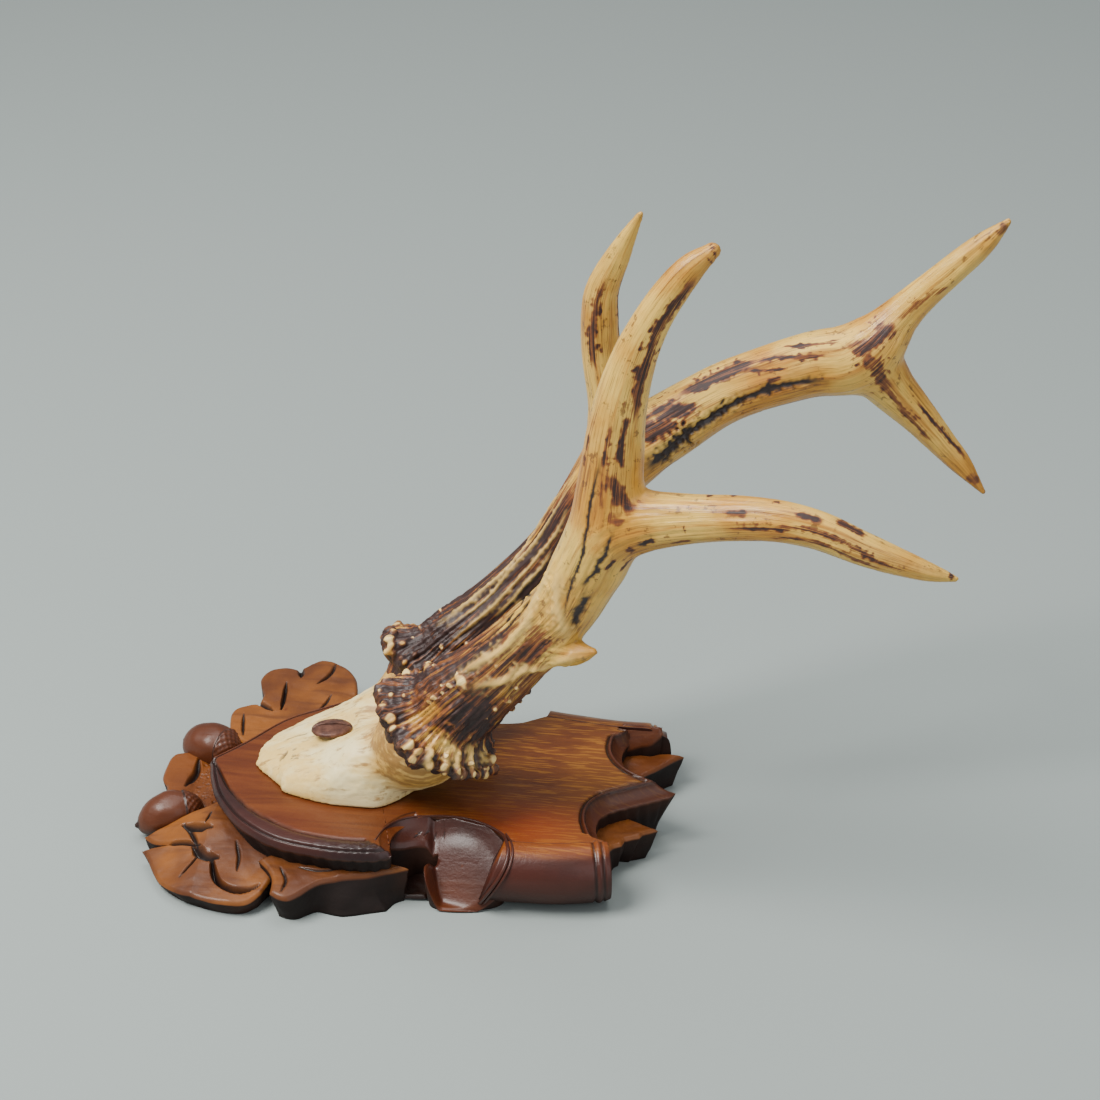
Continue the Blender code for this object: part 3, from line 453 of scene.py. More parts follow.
# Marks seen in the photograph, by windows of it: a corner in pixels, an enlargement, then rows
# of kind, width and strength in millimetres, and places in the enlarged window.
photoMarks = {
    "left_antler": [
        ((360, 440), 6.25, [
            ("ridge", 1.3, 1.1, (600, 1480), (700, 1420), (850, 1330), (950, 1250), (1050, 1130),
             (1100, 1000), (1180, 850), (1230, 700)),
            ("ridge", 1.5, 1.0, (1400, 1330), (1300, 1370), (1150, 1420), (1000, 1450),
             (900, 1510), (780, 1530), (700, 1545)),
            ("ridge", 2.0, 0.8, (1300, 1250), (1250, 1100), (1230, 950), (1260, 800)),
            ("groove", 0.6, 0.4, (640, 1300), (740, 1280), (850, 1200), (1000, 1030), (1100, 880)),
            ("groove", 0.6, 0.4, (660, 1340), (760, 1310), (870, 1230), (1010, 1070), (1090, 940)),
            ("hollow", 3.4, 1.2, (1130, 1150), (1080, 1300), (950, 1420), (840, 1470)),
            ("stain", 4.6, 0.62, (1130, 1150), (1080, 1300), (950, 1420), (840, 1470))]),
        ((510, 440), 7.5, [
            ("groove", 1.5, 0.9, (480, 1420), (500, 1330), (560, 1220), (610, 1170)),
            ("groove", 0.5, 0.2, (400, 1380), (410, 1280), (440, 1150), (480, 1020), (530, 900),
             (560, 760), (580, 640), (600, 500), (640, 300), (680, 150)),
            ("groove", 0.6, 0.3, (540, 1120), (570, 1060), (640, 990), (660, 930), (720, 850),
             (750, 740), (780, 690)),
            ("stain", 0.6, 0.9, (710, 980), (790, 900)),
            ("stain", 0.8, 0.9, (820, 990), (900, 900), (930, 880)),
            ("stain", 0.7, 0.8, (870, 840), (920, 810)),
            ("groove", 0.7, 0.2, (960, 795), (1020, 765), (1080, 745)),
            ("stain", 0.8, 1.0, (1300, 665), (1310, 665)),
            ("stain", 0.6, 0.7, (1200, 780), (1360, 750)),
            ("stain", 0.6, 0.7, (570, 80), (550, 200)),
            ("stain", 0.6, 0.6, (690, 300), (680, 520)),
            ("stain", 2.2, 0.7, (770, 250), (770, 330), (830, 430), (900, 520), (930, 570)),
            ("stain", 1.0, 1.0, (840, 20), (830, 130), (850, 220)),
            ("stain", 2.0, 0.5, (720, 560), (850, 640))]),
        ((560, 400), 3.409, [
            ("stain", 1.0, 1.0, (800, 390), (850, 400), (895, 415)),
            ("stain", 1.6, 0.9, (940, 410), (1040, 460)),
            ("stain", 0.6, 0.8, (560, 440), (700, 440), (830, 440), (960, 480), (1080, 550),
             (1180, 590)),
            ("stain", 0.6, 0.7, (700, 470), (860, 480), (1000, 540), (1100, 580)),
            ("stain", 1.0, 0.7, (560, 390), (640, 385)),
            ("stain", 0.8, 0.7, (280, 490), (320, 475)),
            ("stain", 0.6, 0.9, (500, 325), (520, 325)),
            ("stain", 0.6, 0.9, (582, 325), (600, 325)),
            ("stain", 0.6, 0.9, (730, 345), (752, 346)),
            ("stain", 1.0, 0.9, (1325, 600), (1342, 605))]),
        ((540, 200), 6.684, [
            ("stain", 1.6, 0.85, (620, 1480), (650, 1330), (680, 1200), (740, 1020), (800, 850),
             (880, 740), (950, 640), (1040, 510)),
            ("stain", 1.0, 0.9, (540, 1700), (560, 1560), (600, 1450)),
            ("stain", 0.8, 0.7, (310, 1680), (330, 1560)),
            ("stain", 0.5, 0.7, (430, 1800), (440, 1700), (480, 1500)),
            ("stain", 3.2, 0.9, (1150, 335), (1165, 330)),
            ("stain", 2.0, 0.7, (1130, 410), (1140, 400)),
            ("clear", 1.5, 0.9, (1080, 325), (1090, 320))]),
        ((340, 640), 5.357, [
            ("ridge", 1.2, 0.8, (480, 560), (470, 680)), ("ridge", 1.2, 0.8, (560, 520), (570, 700)),
            ("ridge", 1.2, 0.8, (610, 560), (630, 700)), ("ridge", 1.2, 0.8, (690, 560), (700, 690)),
            ("ridge", 1.2, 0.8, (750, 600), (795, 660)),
            ("stain", 5.0, 1.1, (600, 320), (700, 400), (800, 450)),
            ("stain", 4.5, 1.1, (740, 420), (800, 500), (820, 580)),
            ("stain", 4.0, 1.0, (250, 180), (400, 200), (500, 170)),
            ("stain", 1.6, 1.1, (430, 430), (560, 350)), ("stain", 1.2, 1.1, (440, 470), (640, 380)),
            ("clear", 4.2, 0.8, (340, 440), (450, 400), (540, 330)),
            ("clear", 4.0, 0.75, (420, 520), (540, 560), (620, 620))]),
    ],
    "right_antler": [
        ((360, 440), 6.25, [
            ("ridge", 0.6, 0.7, (480, 1165), (620, 1060), (760, 950), (900, 830), (1010, 700),
             (1100, 560), (1200, 400), (1340, 210)),
            ("ridge", 0.5, 0.6, (550, 1165), (690, 1070), (800, 980), (960, 790), (1080, 660),
             (1180, 510), (1260, 370), (1330, 250)),
            ("ridge", 0.6, 0.7, (590, 1240), (740, 1120), (850, 1020), (1050, 800), (1130, 700),
             (1220, 590), (1290, 440)),
            ("ridge", 0.5, 0.6, (850, 1100), (960, 990), (1040, 890), (1130, 800), (1190, 700)),
            ("ridge", 0.5, 0.6, (760, 1250), (900, 1130), (1000, 1000))]),
        ((540, 200), 6.684, [
            ("stain", 1.2, 0.85, (370, 1130), (345, 1000), (350, 850), (390, 640), (430, 540)),
            ("stain", 1.3, 0.95, (940, 1290), (1100, 1210), (1200, 1160), (1300, 1110),
             (1440, 1080)),
            ("stain", 3.0, 0.9, (740, 1440), (860, 1420), (1000, 1385)),
            ("stain", 2.5, 0.8, (760, 1560), (900, 1480)),
            ("groove", 1.6, 0.8, (740, 1800), (860, 1680), (1000, 1570), (1200, 1430),
             (1400, 1310))]),
        ((640, 280), 3.947, [
            ("stain", 1.3, 0.95, (170, 450), (250, 410), (330, 375), (400, 345), (450, 325)),
            ("stain", 1.5, 0.95, (60, 520), (130, 515), (200, 500), (230, 490)),
            ("stain", 2.5, 0.8, (30, 530), (40, 600), (40, 650)),
            ("groove", 2.2, 1.0, (30, 750), (100, 690), (180, 620), (230, 580)),
            ("groove", 1.2, 0.8, (180, 620), (260, 560), (360, 500), (460, 450), (560, 420),
             (650, 405), (740, 400)),
            ("stain", 0.6, 0.9, (560, 260), (640, 260), (730, 250), (800, 235)),
            ("stain", 0.7, 0.9, (460, 330), (520, 310), (620, 305), (700, 300), (740, 295)),
            ("stain", 0.6, 0.9, (430, 360), (520, 355), (580, 350)),
            ("stain", 1.0, 0.8, (500, 400), (560, 385)),
            ("stain", 2.8, 0.72, (820, 250), (870, 270), (910, 250), (960, 210), (1010, 170)),
            ("stain", 2.2, 0.65, (880, 300), (930, 350), (960, 400), (1000, 440)),
            ("stain", 0.9, 1.0, (950, 215), (975, 200)),
            ("stain", 1.0, 0.5, (1010, 170), (1060, 120), (1150, 60), (1230, 20)),
            ("stain", 0.9, 0.6, (960, 400), (1010, 480), (1080, 560), (1150, 640)),
            ("stain", 0.6, 0.8, (1090, 480), (1150, 550), (1230, 640), (1290, 700)),
            ("stain", 1.5, 0.6, (1290, 770), (1340, 800)),
            ("stain", 1.0, 0.9, (200, 60), (150, 120), (110, 190), (60, 250), (30, 330))]),
        ((0, 0), 1.0, [("stain", 1.2, 0.7, (998, 236), (1007, 224))]),
    ],
}
# Pearls seen in the photograph, in such windows: places, then radii in millimetres.
photoPearls = {
    "left_antler": ((340, 640), 5.357, [
        (660, 220, 2.6), (590, 245, 1.2), (550, 285, 0.8), (510, 310, 1.2), (485, 335, 0.8),
        (545, 245, 0.7), (900, 325, 1.3), (830, 365, 1.0), (270, 425, 1.9), (240, 360, 1.2),
        (240, 190, 1.6), (475, 150, 1.6), (370, 565, 2.0), (415, 605, 1.6), (800, 640, 1.8),
        (790, 690, 1.2), (480, 680, 1.1), (560, 715, 1.1), (625, 700, 1.3), (640, 745, 0.9),
        (690, 660, 1.2), (710, 715, 1.2)]),
    "right_antler": ((360, 440), 6.25, [
        (235, 1160, 1.5), (205, 1210, 1.3), (195, 1285, 1.6), (510, 1295, 0.9)]),
}


# The burr's widening: a bell along the beam, wavy round the rim, less of it on the inner side.
def burrFactor(plan):
    look = antlerLook

    def factor(along, angle, reach):
        flare = bell(along, look["burrAt"], look["burrHalf"])
        squeeze = look["burrSqueeze"] * np.clip(plan["innerSide"] * np.sin(angle), 0, 1)
        waves = 1 + sum(share * np.sin(count * (angle + plan["seed"]))
                        for count, share in look["burrWaves"])
        return (reach + look["burrFlare"] * waves * flare) * (1 - squeeze * flare)
    return factor


# Where points lie on a branch: millimetres along it, angle round it, and how far outside it.
def onBranch(points, samples, flatness, factor=None):
    spine, radius = samples[:, :3], samples[:, 3]
    frames = pathFrames(spine)
    steps = pathSteps(spine)
    size = pointsAtOnce
    nearest = np.concatenate([((points[k:k + size, None, :] - spine) ** 2).sum(2).argmin(1)
                              for k in range(0, len(points), size)])
    ahead = ((points - spine[nearest]) * frames[0][nearest]).sum(1)
    along = np.clip(steps[nearest] + ahead, 0, steps[-1])
    middle, tangent, across, outward = (
        np.stack([np.interp(along, steps, axis[:, k]) for k in range(3)], 1)
        for axis in (spine, *frames))
    offset = points - middle
    past = (offset * tangent).sum(1)
    side = (offset * across).sum(1) / flatness
    up = (offset * outward).sum(1)
    angle = np.arctan2(side, up)
    reach = np.interp(along, steps, radius)
    if factor is not None:
        reach = factor(along, angle, reach)
    return along, angle, np.sqrt(side ** 2 + up ** 2 + past ** 2) - reach


# The smooth union of the branches: minus width x log of the sum of exp(-away / width).
def unionField(points, branches, width):
    found = [onBranch(points, *branch) for branch in branches]
    away = np.stack([f[2] for f in found])
    least = away.min(0)
    shares = np.exp(-(away - least) / width)
    return least - width * np.log(shares.sum(0)), shares / shares.sum(0), found


# An antler: tubes along its branches, one skin over them that is moved onto their smooth union,
# then raised along its normals by the relief, the marks and the pearls. A branch's flow is the
# cosine and sine of the angle round it and the way along it.
def makeAntler(name, plan, material):
    look = antlerLook
    step = look["pathStep"]
    branches = [(smoothPath(plan["main"], step), look["beamFlatness"], burrFactor(plan))]
    branches += [(smoothPath(tine, step), look["tineFlatness"]) for tine in plan["tines"]]
    tubes = [ringMesh(tubeRings(branch[0], look["sides"], *branch[1:])) for branch in branches]
    points, quads = voxelSkin(tubes, look["voxel"])
    rounds, share, weight, smoothings = look["settle"]
    for _ in range(rounds):
        away = unionField(points, branches, look["webWidth"])[0]
        points = points - share * away[:, None] * vertexNormals(points, quads)
        points = smoothed(points, quads, weight, smoothings)
    _, shares, found = unionField(points, branches, look["webWidth"])
    flows = [np.stack([np.cos(angle), np.sin(angle), along / look["flowLength"]], 1)
             for along, angle, _ in found]
    side = 1 - shares[0]
    sideFlow = sum(s[:, None] * flow for s, flow in zip(shares[1:], flows[1:]))
    sideFlow /= np.maximum(side, 1e-6)[:, None]
    normals = vertexNormals(points, quads)
    tree = BVHTree.FromPolygons(points.tolist(), quads.tolist())
    height, traits = antlerRelief(plan, points, found[0][0], side, flows[0], sideFlow)
    # Painted shade: the stain attribute is raised where the surface faces down.
    traits["stain"] += look["underShade"] * np.clip(-normals[:, 2] - 0.1, 0, 1)
    height = drawMarks(name, tree, points, height, traits)
    height += drawPearls(name, plan, tree, points, traits)
    traits.update({"mainFlow": flows[0], "sideFlow": sideFlow, "sideShare": side})
    addPiece(name, points + height[:, None] * normals, quads, material, traits,
             plan["stands"])


# Relief, and the stains that go with it. Ridges are noise on coordinates that are long along
# the branch and short round it, folded so that its zero lines are narrow grooves.
def antlerRelief(plan, points, along, side, mainFlow, sideFlow):
    look = antlerLook
    near = np.exp(-along / look["ridgeFade"]) * (1 - side)
    darkness, darkFrom, darkTo = plan["dark"]
    dark = darkness * (1 - smoothstep(darkFrom, darkTo, along)) * (1 - side)

    def flowNoise(size, shift):
        size = np.array(size)
        return (1 - side) * noise(mainFlow * size + shift) + side * noise(sideFlow * size + shift)

    broad, narrow = flowNoise(*look["broad"]), flowNoise(*look["narrow"])
    wide = np.abs(flowNoise(*look["wideRibs"]))
    closeSize, closeShift = look["closeRibs"]
    close = np.abs(noise(mainFlow * np.array(closeSize) + closeShift))
    low = 1 - smoothstep(*look["closeEnd"], along)
    ribs = (1 - low) * wide + low * close
    onBeam = near * smoothstep(3, 9, along)
    height = look["ridgeHeight"] * onBeam * (2.4 * np.minimum(ribs, 0.45) - 0.65)
    height += look["broadHeight"] * broad + look["narrowHeight"] * narrow
    lumps = layeredNoise(points / look["lumpSize"], 2)
    height += look["lumpHeight"] * low * smoothstep(-2, 4, along) * lumps
    lines = bell(narrow, 0, 0.10) * (0.35 + 0.65 * near)
    height -= look["lineDepth"] * lines
    valley = np.clip(1.1 - (5.0 - 2.0 * darkness) * ribs, 0, 1)
    groove = np.clip(0.5 * lines * (0.4 + near) + onBeam * valley * (0.7 + 0.6 * dark), 0, 1)
    stain = dark * (1 + 0.5 * broad) + 0.1 * broad + 0.25 * near * valley
    atBurr = look["burrStain"] * (1 - smoothstep(*look["burrStainEnd"], along))
    stain = np.maximum(stain, atBurr * (1 + 0.4 * narrow))
    zero = np.zeros(len(points))
    return height, {"groove": groove, "stain": stain, "pearl": zero, "pale": zero.copy()}


# The photograph's marks, each a line on the surface with a bell across it. Noise makes the way
# from the line longer or shorter, so that the mark's edge is ragged.
def drawMarks(name, tree, points, height, traits):
    look = antlerLook
    first, last = look["markEnds"]
    (fine, fineSize), (rough, roughSize) = look["ragged"]
    groove, stain, pale = (traits[key] for key in ("groove", "stain", "pale"))
    for corner, scale, rows in photoMarks[name]:
        for kind, width, strength, *places in rows:
            line = onRays(tree, smoothPath(places, look["markStep"] * scale) / scale + corner)
            reach = look["markReach"] * width
            box = (points > line.min(0) - reach) & (points < line.max(0) + reach)
            some = np.flatnonzero(box.all(1))
            if not len(some):
                continue
            spots = points[some]
            away, _, share = nearestOn(spots, line)
            fade = smoothstep(*first, share) * (1 - smoothstep(*last, share))
            ragged = 1 + fine * noise(spots / fineSize) + rough * noise(spots / roughSize)
            weight = bell(away * np.maximum(ragged, 0.3), 0, width) * fade
            if kind == "ridge":
                height[some] += strength * weight
                pale[some] = np.maximum(pale[some], weight)
                groove[some] *= 1 - weight
            elif kind == "groove":
                height[some] -= strength * weight
                groove[some] = np.maximum(groove[some], np.clip(1.5 * weight, 0, 1))
            elif kind == "hollow":
                height[some] -= strength * weight
                groove[some] *= 1 - weight
            elif kind == "stain":
                stain[some] = np.maximum(stain[some], strength * np.clip(1.4 * weight, 0, 1))
            elif kind == "clear":
                stain[some] *= 1 - strength * weight
                groove[some] *= 1 - strength * weight
    traits["stain"] = np.clip(stain, 0, 1.1)
    return height


# Pearls: half-round bumps about seeded spots on the burr's rim and the beam above it, and
# about the photograph's.
def drawPearls(name, plan, tree, points, traits):
    look = antlerLook
    random = np.random.default_rng(plan["seed"])
    main = smoothPath(plan["main"], look["pathStep"])
    _, across, outward = pathFrames(main[:, :3])
    steps = pathSteps(main[:, :3])
    rim, beam = look["rimPearls"], look["beamPearls"]
    beamStart, beamLength = look["beamReach"]
    along = np.r_[random.normal(look["burrAt"], 0.8, rim),
                  random.normal(look["burrAt"] + look["upperShift"], 1.0, rim),
                  beamStart + beamLength * random.random(beam) ** 2]
    turn = np.r_[np.linspace(0, 2 * math.pi, rim, endpoint=False) + random.normal(0, 0.06, rim),
                 random.uniform(0, 2 * math.pi, rim + beam)]
    size = np.r_[random.uniform(*look["rimSize"], rim), random.uniform(*look["upperSize"], rim),
                 random.uniform(*look["beamSize"], beam)]
    k = np.clip(np.searchsorted(steps, along), 0, len(steps) - 1)
    reach = burrFactor(plan)(along, turn, main[k, 3])
    flatness = look["beamFlatness"]
    offset = np.cos(turn)[:, None] * outward[k] + flatness * np.sin(turn)[:, None] * across[k]
    spots = main[k, :3] + reach[:, None] * offset
    corner, scale, seen = photoPearls[name]
    seen = np.array(seen)
    spots = np.vstack([spots, onRays(tree, seen[:, :2] / scale + corner)])
    size = np.r_[size, seen[:, 2]]
    cream = np.r_[random.random(len(size) - len(seen)) < look["creamPearls"],
                  np.ones(len(seen), bool)]
    bumps = np.zeros(len(points))
    close = np.flatnonzero(((points - main[0, :3]) ** 2).sum(1) < look["pearlReach"] ** 2)
    bent = 1.15 + 0.6 * noise(points[close] / 1.7)     # makes the pearls less round
    for spot, radius, worn in zip(spots, size, cream):
        part = np.sqrt(((points[close] - spot) ** 2).sum(1)) * bent / (1.2 * radius)
        dome = np.clip(1 - part ** 2, 0, 1)
        bumps[close] = np.maximum(bumps[close], look["pearlHeight"] * radius * np.sqrt(dome))
        traits["pearl"][close] = np.maximum(traits["pearl"][close], dome * (1.0 if worn else 0.3))
    traits["groove"] *= 1 - np.maximum(traits["pearl"], traits["pale"])
    return bumps


antlerColors = {
    "cream": (0.84, 0.53, 0.10),
    "tan": (0.62, 0.28, 0.025),
    "honey": (0.47, 0.17, 0.016),
    "streak": (0.24, 0.085, 0.014),
    "hair": (0.16, 0.055, 0.012),
    "speck": (0.12, 0.04, 0.014),
    "stain": (0.22, 0.065, 0.016),
    "deepStain": (0.034, 0.013, 0.011),
    "ridge": (0.80, 0.52, 0.15),
    "groove": (0.022, 0.010, 0.009),
    "pearlFoot": (0.20, 0.075, 0.030),
    "pearl": (0.84, 0.60, 0.23),
    "tanPearl": (0.62, 0.34, 0.08),
}


# Cream antler with streaks of noise along each branch's flow, then the stains, ridges, grooves
# and pearls by their attributes. The stain attribute also holds painted shade on the undersides.
def antlerFinish():
    look = Finish("antler", antlerColors)
    side = look.trait("sideShare")

    def streak(scale, detail=4.0):
        main = look.noise(look.place(scale, look.trait("mainFlow", "Vector")), 1.0, detail, 0.6)
        other = look.noise(look.place(scale, look.trait("sideFlow", "Vector")), 1.0, detail, 0.6)
        return main * (1.0 - side) + other * side

    soft, fine, hair = streak((3, 3, 2.5)), streak((9, 9, 4.5)), streak((26, 26, 7), 3.0)
    patches = look.noise(look.place(), 30.0, 4.0)
    specks = look.noise(look.place(), 260.0, 4.0, 0.65)
    color = look.mix(patches.band(0.36, 0.62), "cream", "tan")
    color = look.mix(soft.band(0.50, 0.66) * 0.75, color, "honey")
    color = look.mix((fine + patches * 0.5).band(0.78, 0.95) * 0.8, color, "streak")
    color = look.mix(hair.band(0.55, 0.64) * 0.55, color, "hair")
    color = look.mix((specks + fine * 0.4).band(0.80, 0.87) * 0.7, color, "speck")
    stained = look.trait("stain") * (fine * 2.6 + hair * 1.8 + specks * 0.8 - 1.55)
    stained = stained + (fine * 0.5 + hair * 0.3 - 0.42)
    color = look.mix(stained.band(0.12, 0.52), color, "stain")
    color = look.mix(stained.band(0.52, 0.90), color, "deepStain")
    color = look.mix(look.trait("pale") * 0.85, color, "ridge")
    color = look.mix(look.trait("groove"), color, "groove")
    pearl = look.trait("pearl")
    color = look.mix(pearl.band(0.10, 0.30) * 0.6, color, "pearlFoot")
    worn = look.mix(fine.band(0.42, 0.58), "pearl", "tanPearl")
    color = look.mix(pearl.band(0.40, 0.80), color, worn)
    look.link(color, "Base Color")
    look.link(0.30 + 0.22 * stained.band(0.1, 0.7), "Roughness")
    look.link(look.bump(fine + hair * 0.6 + specks * 0.4, 0.35, 0.0005), "Normal")
    return look.material


skullLook = {
    "base": 22.3,
    "stations": [               # x, left edge, right edge, height of the sides, of the middle
        (-51.5, -7.0, 3.0, 1.6, 1.6), (-48.5, -10.5, 9.0, 3.6, 3.6),
        (-44.0, -14.8, 14.0, 5.4, 5.6), (-40.2, -18.8, 16.8, 6.8, 7.0),
        (-38.3, -21.4, 18.6, 7.8, 8.0), (-26.0, -25.4, 24.5, 13.6, 12.6),
        (-15.0, -26.4, 27.5, 22.0, 15.8), (-5.0, -25.2, 28.0, 24.5, 18.0),
        (3.5, -16.0, 23.0, 18.0, 16.5), (8.5, -6.0, 15.0, 12.0, 12.0),
        (12.0, 1.0, 9.0, 6.0, 6.0)],
    "pedicle": [                # below the burr, shift towards the middle, radius
        (22.0, 7.0, 13.0), (12.0, 2.6, 15.2), (7.0, 0.6, 15.6), (3.0, 0.0, 15.4),
        (0.3, 0.0, 15.2)],
    "voxel": 0.5,
    "smoothing": (0.5, 150),    # weight and rounds
    "rough": ((0.3, 9.0), (0.10, 1.6)),   # height and size of the broad and the fine waves
    "ribs": (0.18, (0.04, 0.35, 0.35)),   # height, and how fine along each axis
    "ragged": (0.9, (0.22, 0.22, 0.05)),  # the same for the front edge
    "screwFlat": 7.5,           # radius of the flat spot under the screw
    "cuts": [                   # width, depth, then places in the plan
        (2.4, 1.6, (-41.9, -10.6), (-40.9, -8.2), (-40.4, -7.0)),
        (1.5, 0.8, (-37.6, -10.4), (-36.4, -11.4)), (1.2, 0.6, (-38.6, -7.0), (-36.9, -7.2)),
        (1.0, 0.3, (-38.0, -12.0), (-26.0, -16.0), (-14.0, -17.0)),
        (0.8, 0.25, (-46.0, 0.0), (-34.0, 1.5), (-22.0, 0.5), (-10.0, 1.0)),
    ],
}
screwLook = {
    "seat": (-25.6, -2.3, 36.2),
    "lean": (-3.5, -10.0),      # degrees, towards x and y
    "radius": 6.9,
    "rise": 2.0,
    "slotWidth": 1.3,
    "slotDepth": 1.2,
    "slotTurn": 0.13,
    "domePower": 0.4,
    "bumps": (0.06, 1.3),       # height, and how fine
    "below": (                  # radius and height of each ring under the head
        (6.7, -0.3), (6.2, -0.6), (2.6, -0.7), (2.1, -1.9), (2.1, -21.5)),
}


# The cap's shell: an arch over each station, |cos|^0.85 across and sin^0.6 up, with a saddle.
def skullRings():
    samples = smoothPath(skullLook["stations"], 1.0)
    angle = np.linspace(0, math.pi, 90)
    x, left, right, sides, saddle = (samples[:, k:k + 1] for k in range(5))
    across = np.sign(np.cos(angle)) * np.abs(np.cos(angle)) ** 0.85
    y = (left + right) / 2 + (right - left) / 2 * across
    dip = (sides - saddle) * bell(y, (left + right) / 2, 9.0)
    z = skullLook["base"] + (sides - dip) * np.clip(np.sin(angle), 0, 1) ** 0.6
    return np.stack([x + 0 * y, y, z], 2)


# A pedicle: a tube down the line of the antler's foot, shifted towards the middle as it falls.
def pedicleRings(plan):
    foot, above = smoothPath(plan["main"], 2.7)[:2, :3]
    lean = (above - foot) / np.linalg.norm(above - foot)
    rows = []
    for below, inward, radius in skullLook["pedicle"]:
        centre = foot - below * lean
        centre[1] -= math.copysign(inward, centre[1])
        rows.append((*centre, radius))
    return tubeRings(np.array(rows), 60, 0.95)


# Unit vectors of the screw: to its side, the third, and its axis.
def screwAxes():
    lean = np.radians(screwLook["lean"])
    axis = np.array([math.sin(lean[0]), -math.sin(lean[1]), 1.0])
    axis /= np.linalg.norm(axis)
    sideways = np.cross([0.0, 1.0, 0.0], axis)
    sideways /= np.linalg.norm(sideways)
    return np.stack([sideways, np.cross(axis, sideways), axis])


# The cap: one skin over the shell and both pedicles, smoothed above its foot, with waves, ribs
# and cuts along its normals, a ragged front edge and a flat spot square to the screw.
def makeSkull(material):
    look = skullLook
    parts = [ringMesh(skullRings())]
    parts += [ringMesh(pedicleRings(plan)) for plan in antlers.values()]
    points, quads = voxelSkin(parts, look["voxel"])
    base = look["base"]
    upper = smoothstep(base + 1.0, base + 6.0, points[:, 2])
    weight, rounds = look["smoothing"]
    points = smoothed(points, quads, weight * upper, rounds)
    cut, dark = carveStrokes(points[:, :2], look["cuts"])
    (broad, broadSize), (fine, fineSize) = look["rough"]
    rough = broad * layeredNoise(points / broadSize, 3) + fine * noise(points / fineSize) - cut
    ribHeight, ribScale = look["ribs"]
    ribs = noise(points * ribScale) * smoothstep(-40, -10, points[:, 0])
    points = points + ((rough + ribHeight * ribs) * upper)[:, None] * vertexNormals(points, quads)
    edge = (1 - smoothstep(base + 2, base + 7, points[:, 2])) * smoothstep(-20, -34, points[:, 0])
    wander, wanderScale = look["ragged"]
    points[:, 0] += wander * edge * np.abs(layeredNoise(points * wanderScale, 3))
    seat, axis = np.array(screwLook["seat"]), screwAxes()[2]
    offset = points - seat
    above = offset @ axis / axis[2]
    out = np.linalg.norm(offset[:, :2], axis=1) - look["screwFlat"]
    points[:, 2] -= np.maximum(above + 0.3 - 1.2 * np.maximum(out, 0), 0)
    points[:, 2] = np.maximum(points[:, 2], base)
    low = smoothstep(4, 24, points[:, 2] - base)
    stain = smoothstep(-26, 6, points[:, 0]) * (0.25 + 0.75 * low)
    addPiece("skull_cap_bone", points, quads, material,
             {"stain": stain, "cut": dark * (np.abs(points[:, 0] + 39) < 4)}, ("skull_cap",))


boneColors = {
    "ivory": (0.92, 0.77, 0.40),
    "yellow": (0.82, 0.56, 0.17),
    "tan": (0.66, 0.36, 0.07),
    "streak": (0.32, 0.15, 0.035),
    "speck": (0.35, 0.19, 0.06),
    "cut": (0.13, 0.085, 0.035),
}


# Ivory bone, tan towards the antlers, with streaks of noise drawn out along X.
def boneFinish():
    look = Finish("bone", boneColors)
    patches = look.noise(look.place((40, 90, 90)), 1.0, 6.0, 0.6)
    streaks = look.noise(look.place((45, 420, 300)), 1.0, 5.0, 0.65)
    fine = look.noise(look.place((200, 500, 500)), 1.0, 4.0, 0.6)
    stain = look.trait("stain")
    color = look.mix(patches.band(0.36, 0.64), "ivory", "yellow")
    color = look.mix((stain + patches * 0.6).band(0.45, 1.0) * 0.8, color, "tan")
    color = look.mix((streaks + stain * 0.22).band(0.54, 0.70) * 0.8, color, "streak")
    color = look.mix(fine.band(0.62, 0.72) * 0.4, color, "speck")
    color = look.mix(look.trait("cut") * 0.9, color, "cut")
    look.link(color, "Base Color")
    look.link(0.42 + 0.2 * patches, "Roughness")
    look.link(look.bump(fine + streaks, 0.3, 0.0004), "Normal")
    return look.material


# The head: a low dome over a disc, less a straight slot, then its rim and a shank below.
def makeScrew(material):
    look = screwLook
    share = np.r_[np.linspace(0.02, 0.93, 60), np.linspace(0.94, 1.0, 8)]
    turn = np.linspace(0, 2 * math.pi, 200, endpoint=False)
    x = look["radius"] * share[:, None] * np.cos(turn)
    y = look["radius"] * share[:, None] * np.sin(turn)
    z = look["rise"] * np.clip(1.0 - share[:, None] ** 2, 0, 1) ** look["domePower"] + 0 * x
    across = np.abs(y * math.cos(look["slotTurn"]) - x * math.sin(look["slotTurn"]))
    slot = 1 - smoothstep(0.38, 0.60, across / look["slotWidth"])
    z = z - np.minimum(look["slotDepth"] * slot, z)
    height, scale = look["bumps"]
    solid = np.stack([x.ravel(), y.ravel(), z.ravel()], 1)
    z += height * noise(solid * scale).reshape(x.shape)
    rings = [np.stack([x, y, z], 2)]
    for radius, drop in look["below"]:
        ring = [radius * np.cos(turn), radius * np.sin(turn), np.full(len(turn), drop)]
        rings.append(np.stack(ring, 1)[None])
    points, faces = ringMesh(np.array(look["seat"]) + np.vstack(rings) @ screwAxes())
    dark = np.r_[np.vstack([slot] + [0 * slot[:1]] * len(look["below"])).ravel(), 0, 0]
    addPiece("slotted_screw", points, outwardFaces(points, faces), material,
             {"cut": dark}, ("screw",))


rustColors = {
    "dark": (0.065, 0.022, 0.014),
    "rust": (0.15, 0.062, 0.038),
    "slot": (0.018, 0.009, 0.007),
}


